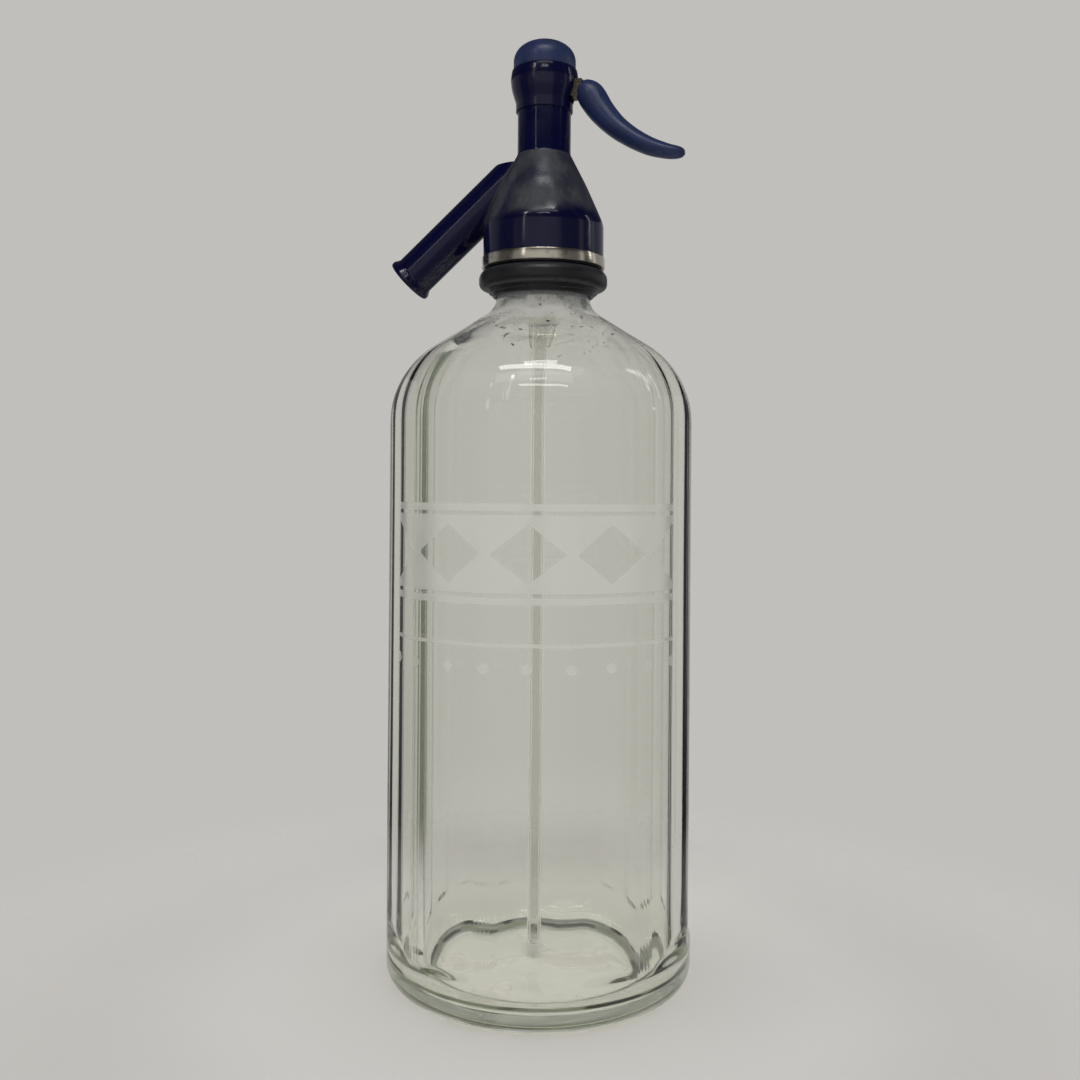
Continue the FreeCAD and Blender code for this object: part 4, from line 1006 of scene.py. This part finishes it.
class SIPHON_OT_casing(bpy.types.Operator):
    """Model the head casing: bell, stem and ball, with the lever's slot and the spout's knuckle"""

    bl_idname = "siphon.casing"
    bl_label = "Head casing"

    def execute(self, context):
        head = context.scene.siphon_head
        spout = context.scene.siphon_spout
        lever = context.scene.siphon_lever
        line, length_along = spout_line(spout)
        piece = turned("casing_shell", casing_outline(head), 144)

        knuckle = rod("knuckle", spout.radius, spout.radius, spout.joint, 96)
        set_down(knuckle, line)
        bpy.ops.object.mode_set(mode="EDIT")
        bpy.ops.mesh.select_all(action="SELECT")
        bpy.ops.mesh.bisect(
            plane_co=(0, 0, COLLAR_FOOT + spout.knuckle_rise), plane_no=(0, 0, 1),
            use_fill=True, clear_outer=True,
        )
        bpy.ops.object.mode_set(mode="OBJECT")
        combine(piece, knuckle, "UNION")
        combine(piece, turned("hollow", hollow_outline(context), 96), "DIFFERENCE")

        socket = rod("socket", SOCKET_RADIUS, spout.joint - 7 * MM, length_along)
        set_down(socket, line)
        combine(piece, socket, "DIFFERENCE")
        port = rod("port", 2 * MM, 2.75 * MM, spout.joint - 6 * MM, 32)
        set_down(port, line)
        combine(piece, port, "DIFFERENCE")

        bpy.ops.object.select_all(action="DESELECT")
        bpy.ops.mesh.primitive_cube_add(size=1)
        slot = bpy.context.active_object
        low, high = COLLAR_FOOT + lever.slot_low, COLLAR_FOOT + lever.slot_high
        inner, outer = 4.3 * MM, head.ball_radius + 1 * MM
        slot.dimensions = (outer - inner, 2 * lever.slot_half, high - low)
        slot.location = ((outer + inner) / 2, 0, (high + low) / 2)
        combine(piece, slot, "DIFFERENCE")
        material = gloss_navy(context.scene.siphon_colours, head)
        hand_over(piece, "root", "head_casing", material)
        return {"FINISHED"}


class SIPHON_OT_spout(bpy.types.Operator):
    """Model the spout: a straight tube with a flared lip, saddled on the bell"""

    bl_idname = "siphon.spout"
    bl_label = "Spout"

    def execute(self, context):
        head = context.scene.siphon_head
        spout = context.scene.siphon_spout
        line, end = spout_line(spout)
        flare = end - spout.flare_length
        lip = end - spout.lip_length
        sleeve = turned("spout_tube", rounded(
            [
                (5.0 * MM, spout.joint, 0),
                (spout.radius, spout.joint, 0),
                (spout.radius, flare, 2.0 * MM),
                (spout.lip_radius, lip, 0.35 * MM),
                (spout.lip_radius, end, 0.55 * MM),
                (5.0 * MM, end, 0),
            ],
            closed=True,
        ), 128)
        set_down(sleeve, line)
        combine(sleeve, turned("saddle", casing_outline(head, 0.1 * MM), 144), "DIFFERENCE")
        core = turned("core", rounded(
            [
                (spout.bore, spout.joint - 5.8 * MM, 0),
                (spout.bore + 1.0 * MM, spout.joint - 5.8 * MM, 0.3 * MM),
                (spout.bore + 1.0 * MM, end, 0),
                (spout.bore + 0.3 * MM, end, 0),
                (spout.bore, end - 1.0 * MM, 0.8 * MM),
            ],
            closed=True,
        ), 96)
        set_down(core, line)
        combine(sleeve, core, "UNION")
        material = gloss_navy(context.scene.siphon_colours, head)
        hand_over(sleeve, "root", "spout", material)
        return {"FINISHED"}


class SIPHON_OT_band(bpy.types.Operator):
    """Model the nickel band round the skirt, its edges rolled over"""

    bl_idname = "siphon.band"
    bl_label = "Skirt band"

    def execute(self, context):
        head = context.scene.siphon_head
        low = COLLAR_FOOT + head.skirt_rise
        high = low + head.band_height
        inner = head.skirt_radius
        outer = inner + head.band_thickness
        edge = head.band_thickness * 0.8
        outline = rounded(
            [(inner, low, 0), (outer, low, edge), (outer, high, edge), (inner, high, 0)],
            closed=True,
        )
        piece = turned("band_ring", outline, 144)
        nickel = band_nickel(context.scene.siphon_colours)
        hand_over(piece, "root", "skirt_band", nickel)
        return {"FINISHED"}


class SIPHON_OT_cap(bpy.types.Operator):
    """Model the dome cap with its spigot and the well for the spring"""

    bl_idname = "siphon.cap"
    bl_label = "Dome cap"

    def execute(self, context):
        head = context.scene.siphon_head
        rim = COLLAR_FOOT + head.rim_rise
        top = rim + head.cap_height
        spigot_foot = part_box("dome_cap")[0].z
        spigot, well = 8.5 * MM, 4.7 * MM
        crown = top - 2.0 * MM
        outline = rounded(
            [
                (0, top, 0),
                (head.cap_crown, top, 9.2 * MM),
                (head.cap_radius, rim + head.cap_shoulder, 6.1 * MM),
                (head.cap_radius, rim + 0.1 * MM, 0.45 * MM),
                (spigot, rim + 0.1 * MM, 0),
                (spigot, spigot_foot, 0.2 * MM),
                (spigot - 1.9 * MM, spigot_foot, 0.2 * MM),
                (spigot - 1.9 * MM, rim, 0.8 * MM),
                (well, rim + 1.2 * MM, 0.8 * MM),
                (well, crown, 0.3 * MM),
                (0, crown, 0),
            ]
        )
        piece = turned("cap_dome", outline, 128)
        material = worn_blue_plastic("worn_cap_blue", context.scene.siphon_colours)
        hand_over(piece, "root", "dome_cap", material)
        return {"FINISHED"}


# ---- the lever and its spring -------------------------------------------------------------------


class SIPHON_OT_grip(bpy.types.Operator):
    """Model the grip: oval sections carried along a line that sweeps out and down"""

    bl_idname = "siphon.grip"
    bl_label = "Lever grip"

    # Reach, rise, half thickness and half width at each station, from the hub to the tip.
    stations = (
        (12.8, 69.55, 2.9, 3.3),
        (13.3, 69.25, 3.5, 3.9),
        (15.9, 66.9, 4.7, 4.7),
        (19.6, 61.4, 4.4, 5.0),
        (24.2, 56.3, 3.8, 5.1),
        (29.5, 52.2, 3.3, 5.1),
        (35.5, 48.8, 2.9, 4.8),
        (41.5, 46.7, 2.4, 4.1),
        (45.0, 46.05, 2.0, 3.2),
        (46.7, 45.95, 1.45, 2.3),
        (47.45, 45.95, 0.7, 1.2),
    )

    def smooth_line(self):
        """Centres and half sizes every few tenths of a millimetre along the stations' curve."""
        centres = [Vector((reach, 0, rise)) * MM for reach, rise, _, _ in self.stations]
        sizes = [Vector((thick, wide, 0)) * MM for _, _, thick, wide in self.stations]
        ends = [0, *range(len(centres)), len(centres) - 1]
        line = []
        for i in range(1, len(centres)):
            a, b, c, d = (ends[i + k - 1] for k in range(4))
            steps = max(2, round((centres[c] - centres[b]).length / (1.0 * MM))) + 1
            rows = []
            for p in (centres, sizes):
                leaving, arriving = p[b] + (p[c] - p[a]) / 6, p[c] - (p[d] - p[b]) / 6
                rows.append(interpolate_bezier(p[b], leaving, arriving, p[c], steps))
            line += list(zip(*rows))[:-1]
        line.append((centres[-1], sizes[-1]))
        return [(centre + Vector((0, 0, COLLAR_FOOT)), size) for centre, size in line]

    def execute(self, context):
        line = self.smooth_line()
        places = [centre for centre, _ in line]
        headings = []
        for i in range(len(places)):
            ahead = places[min(i + 1, len(places) - 1)] - places[max(i - 1, 0)]
            headings.append(math.atan2(ahead.x, ahead.z))
        headings[0] = headings[1] = headings[2]
        centre, size = line[0]
        piece = add_ring("grip_handle", 48, 1.0, 0.0)
        resize((size.x, size.y, 1), ORIGIN)
        bpy.ops.transform.rotate(value=-headings[0], orient_axis="Y", center_override=ORIGIN)
        bpy.ops.transform.translate(value=centre)
        for i in range(1, len(line)):
            last_centre, last_size = line[i - 1]
            centre, size = line[i]
            extrude(centre - last_centre)
            bpy.ops.transform.rotate(
                value=headings[i - 1] - headings[i], orient_axis="Y", center_override=centre
            )
            thick, wide = size.x / last_size.x, size.y / last_size.y
            resize((thick, wide, thick), centre)
        close_with_fan((0.15 * MM, 0, 0))
        select_open_edges()
        extrude((0, 0, 0))
        resize((0.8, 0.8, 0.8), line[0][0])
        close_with_fan()
        leave_edit_mode()
        material = worn_blue_plastic("worn_grip_blue", context.scene.siphon_colours)
        hand_over(piece, "lever", "lever_grip", material)
        return {"FINISHED"}


class SIPHON_OT_spring(bpy.types.Operator):
    """Model the return spring as a wire wound round the spindle under the cap"""

    bl_idname = "siphon.spring"
    bl_label = "Return spring"

    def execute(self, context):
        lever = context.scene.siphon_lever
        low, high = (corner.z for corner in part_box("return_spring"))
        wire = lever.spring_wire
        piece = add_ring("spring_coil", 16, wire, 0.0)
        bpy.ops.transform.rotate(value=math.pi / 2, orient_axis="X", center_override=ORIGIN)
        bpy.ops.transform.translate(value=(lever.spring_radius, 0, low + wire))
        bpy.ops.object.mode_set(mode="OBJECT")
        pitch = (high - low - 2 * wire) / lever.spring_turns
        apply_modifier(
            piece, "SCREW", axis="Z", angle=2 * math.pi, steps=40, render_steps=40,
            screw_offset=pitch, iterations=lever.spring_turns, use_merge_vertices=False,
        )
        bpy.ops.object.mode_set(mode="EDIT")
        bpy.ops.mesh.select_mode(type="EDGE")
        select_open_edges()
        bpy.ops.mesh.fill()
        leave_edit_mode()
        steel = turned_metal("spring_steel", context.scene.siphon_colours.steel, 0.3, 0.4)
        hand_over(piece, "root", "return_spring", steel)
        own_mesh(piece)
        return {"FINISHED"}


class SIPHON_OT_inner_parts(bpy.types.Operator):
    """Give the valve, seals, block, pin and arm their finishes"""

    bl_idname = "siphon.inner_parts"
    bl_label = "Inner parts"

    def execute(self, context):
        colours = context.scene.siphon_colours
        finishes = {
            turned_metal("stained_brass", colours.brass, 0.28, 0.5): (
                "valve_seat", "valve_cup", "cup_screw", "gland_nut", "pivot_block"),
            turned_metal("turned_steel", colours.steel, 0.3, 0.3): ("spindle", "lever_pin"),
            # The arm's dark colour is partly worn plating, partly painted shade.
            turned_metal("worn_and_shaded_arm_plating", colours.arm, 0.3, 0.6): ("lever_arm",),
            dull_moulding("moulded_rubber", colours.rubber, 0.75): (
                "bottle_seal", "valve_washer", "spindle_seal", "spout_seal"),
            dull_moulding("pale_rubber", colours.pale_rubber, 0.6): ("tube_gland",),
            dull_moulding("dark_bush_plastic", colours.collar, 0.6): (
                "split_bush_front", "split_bush_back"),
        }
        for material, names in finishes.items():
            for name in names:
                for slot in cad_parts[name].material_slots:
                    slot.material = material
        return {"FINISHED"}


# ---- the stage ----------------------------------------------------------------------------------


class SIPHON_OT_stage(bpy.types.Operator):
    """Set up the floor, the background, the lamps and the camera"""

    bl_idname = "siphon.stage"
    bl_label = "Stage"

    camera_distance = 400 * MM
    camera_height = 162.1 * MM
    camera_azimuth = math.radians(15)
    camera_roll = math.radians(0.43)
    picture_width = 1080
    focal_pixels = 1190
    axis_offset_pixels = 1.6
    horizon_offset_pixels = 50

    # Name, azimuth from the front, elevation, distance, width, height and brightness of each lamp.
    lamps = (
        ("overhead", 15, 62, 0.90, 0.48, 0.10, 8.0),
        ("second_overhead", 15, 38, 0.90, 0.30, 0.04, 6.0),
        ("window", 15, 50, 1.40, 1.10, 0.30, 1.2),
        ("left_strip", -22, 22, 1.10, 0.04, 0.50, 2.2),
        ("left_lamp", -22, 38, 1.10, 0.07, 0.10, 14.0),
        ("right_strip", 112, 22, 1.10, 0.05, 0.50, 3.0),
    )

    # What gloss reflects round the room, as (share of a full turn from behind, brightness).
    walls = (
        (0.00, 0.50), (0.06, 0.40), (0.10, 0.28), (0.22, 0.20), (0.26, 0.05), (0.33, 0.05),
        (0.35, 0.20), (0.38, 0.16), (0.41, 0.36), (0.50, 0.40), (0.57, 0.34), (0.60, 0.10),
        (0.69, 0.08), (0.71, 0.44), (0.73, 0.08), (0.78, 0.08), (0.80, 0.60), (0.82, 0.20),
        (0.90, 0.26), (0.95, 0.40), (1.00, 0.50),
    )

    # Where glass sees the world turn dark, in shares of a full turn from behind the bottle: on both
    # sides for rays reflected inside the glass, and in a narrow sector on the left for all rays.
    dark_sides = (0.126, 0.136)
    dark_sector = (0.122, 0.127, 0.140, 0.145)

    def execute(self, context):
        colours = context.scene.siphon_colours
        self.add_floor(colours)
        self.light_world(context.scene, colours)
        for lamp in self.lamps:
            self.add_lamp(*lamp)
        self.add_camera(context.scene)
        context.scene.view_settings.view_transform = "Standard"
        return {"FINISHED"}

    def add_floor(self, colours):
        """A wide floor of the background's colour that fades into it away from the bottle."""
        top, underside, reach = -0.1 * MM, -10 * MM, 1.2
        outline = [(0, top), (reach, top), (reach, underside), (0, underside)]
        floor = turned("floor", [Vector(point) for point in outline])
        bpy.ops.object.shade_flat()
        cloth = Finish("floor_cloth", colours.floor, 0.9)
        weave = cloth.noise(900.0, 4.0)
        folds = cloth.noise(7.0, 2.0)
        shade = cloth.spread(folds, 0.3, 0.7, 0.97, 1.0)
        cloth.set("Base Color", cloth.scaled(colours.floor[:3], shade))
        cloth.set("Specular IOR Level", 0.1)
        cloth.bump(weave, 0.02 * MM)
        x, y, _ = cloth.axes()
        cloth.see_through(cloth.spread(cloth.hypotenuse(x, y), 0.09, 0.26))
        floor.data.materials.append(cloth.material)

    def light_world(self, scene, colours):
        """Even light for matt surfaces, a plain ground for the camera, the room's walls for gloss,
        and for glass the same ground with dark sides."""
        world = bpy.data.worlds.new("studio")
        scene.world = world
        sky = NodeTree(world)
        ray = sky.nodes.new("ShaderNodeLightPath").outputs
        toward = sky.nodes.new("ShaderNodeSeparateXYZ")
        sky.links.new(sky.add("ShaderNodeTexCoord", {}, output=0), toward.inputs[0])
        x, y, z = toward.outputs
        azimuth = sky.less(sky.math("ARCTAN2", x, sky.product(y, -1.0)), self.camera_azimuth)
        turned_share = sky.math("WRAP", sky.math("DIVIDE", azimuth, 2 * math.pi), 0.5, -0.5)
        walls = sky.bands(sky.total(turned_share, 0.5), self.walls)
        below_ceiling = sky.spread(z, 0.300, 0.314, 1.0, 0.14)
        above_floor = sky.spread(z, -0.35, -0.05, 0.35, 1.0)
        room = sky.scaled(walls, sky.product(below_ceiling, above_floor))

        from_behind = sky.less(0.5, sky.unsigned(turned_share))
        bounced = sky.math("GREATER_THAN", ray["Glossy Depth"], 0.5)
        on_left = sky.math("LESS_THAN", turned_share, 0.0)
        begins, begun, ends, ended = self.dark_sector
        dark = sky.highest(
            sky.product(bounced, sky.spread(from_behind, *self.dark_sides, 0.0, 0.85)),
            sky.product(
                on_left,
                sky.spread(from_behind, begins, begun, 0.0, 0.8),
                sky.spread(from_behind, ends, ended, 1.0, 0.0),
            ),
            sky.spread(sky.unsigned(z), 0.60, 0.85, 0.0, 0.75),
        )
        pale = colours.backdrop
        through = sky.mix(dark, toned(pale, 1.1), toned(colours.glass_edge, 0.35))
        light = (0.62, 0.62, 0.63, 1.0)
        seen = sky.mix(ray["Is Glossy Ray"], light, room)
        seen = sky.mix(ray["Is Transmission Ray"], seen, through)
        seen = sky.mix(ray["Is Camera Ray"], seen, pale)
        sky.put(sky.nodes["Background"], "Color", seen)

    def add_lamp(self, name, azimuth, elevation, distance, width, height, brightness):
        """An oblong lamp that faces the bottle's shoulder, as bright as given at its face."""
        a, e = math.radians(azimuth), math.radians(elevation)
        away = Vector((math.sin(a) * math.cos(e), -math.cos(a) * math.cos(e), math.sin(e)))
        aim = Vector((0, 0, 0.2))
        bpy.ops.object.light_add(type="AREA", location=aim + away * distance)
        lamp = bpy.context.active_object
        lamp.name = name
        lamp.rotation_euler = away.to_track_quat("Z", "Y").to_euler()
        lamp.data.shape = "RECTANGLE"
        lamp.data.size, lamp.data.size_y = width, height
        lamp.data.energy = brightness * math.pi * width * height

    def add_camera(self, scene):
        bpy.ops.object.camera_add()
        camera = bpy.context.active_object
        a = self.camera_azimuth
        away = self.camera_distance
        camera.matrix_world = (
            Matrix.Translation((away * math.sin(a), -away * math.cos(a), self.camera_height))
            @ Matrix.Rotation(a, 4, "Z")
            @ Matrix.Rotation(math.pi / 2, 4, "X")
            @ Matrix.Rotation(self.camera_roll, 4, "Z")
        )
        lens = camera.data
        lens.lens = lens.sensor_width * self.focal_pixels / self.picture_width
        lens.shift_x = -self.axis_offset_pixels / self.picture_width
        lens.shift_y = -self.horizon_offset_pixels / self.picture_width
        lens.clip_start = 0.01
        scene.camera = camera


# ---- panel and registration ---------------------------------------------------------------------


SETTINGS = {
    "siphon_bottle": SiphonBottleSettings,
    "siphon_tube": SiphonTubeSettings,
    "siphon_head": SiphonHeadSettings,
    "siphon_spout": SiphonSpoutSettings,
    "siphon_lever": SiphonLeverSettings,
    "siphon_colours": SiphonColourSettings,
}

STEPS = (
    SIPHON_OT_bottle,
    SIPHON_OT_dip_tube,
    SIPHON_OT_collar,
    SIPHON_OT_casing,
    SIPHON_OT_spout,
    SIPHON_OT_band,
    SIPHON_OT_cap,
    SIPHON_OT_grip,
    SIPHON_OT_spring,
    SIPHON_OT_inner_parts,
    SIPHON_OT_stage,
)


class SIPHON_PT_panel(bpy.types.Panel):
    """Sizes, colours and steps of the siphon"""

    bl_idname = "SIPHON_PT_panel"
    bl_label = "Soda siphon"
    bl_space_type = "VIEW_3D"
    bl_region_type = "UI"
    bl_category = "Siphon"

    def draw(self, context):
        for step in STEPS:
            self.layout.operator(step.bl_idname)
        for name, group in SETTINGS.items():
            box = self.layout.box()
            box.label(text=group.__doc__)
            for key in group.__annotations__:
                box.prop(getattr(context.scene, name), key)


def register():
    for group in SETTINGS.values():
        bpy.utils.register_class(group)
    for name, group in SETTINGS.items():
        setattr(bpy.types.Scene, name, bpy.props.PointerProperty(type=group))
    for step in (*STEPS, SIPHON_PT_panel):
        bpy.utils.register_class(step)


def unregister():
    for step in (SIPHON_PT_panel, *reversed(STEPS)):
        bpy.utils.unregister_class(step)
    for name, group in SETTINGS.items():
        delattr(bpy.types.Scene, name)
        bpy.utils.unregister_class(group)


def main():
    register()
    for step in STEPS:
        category, name = step.bl_idname.split(".")
        getattr(getattr(bpy.ops, category), name)()


if __name__ == "__main__":
    main()
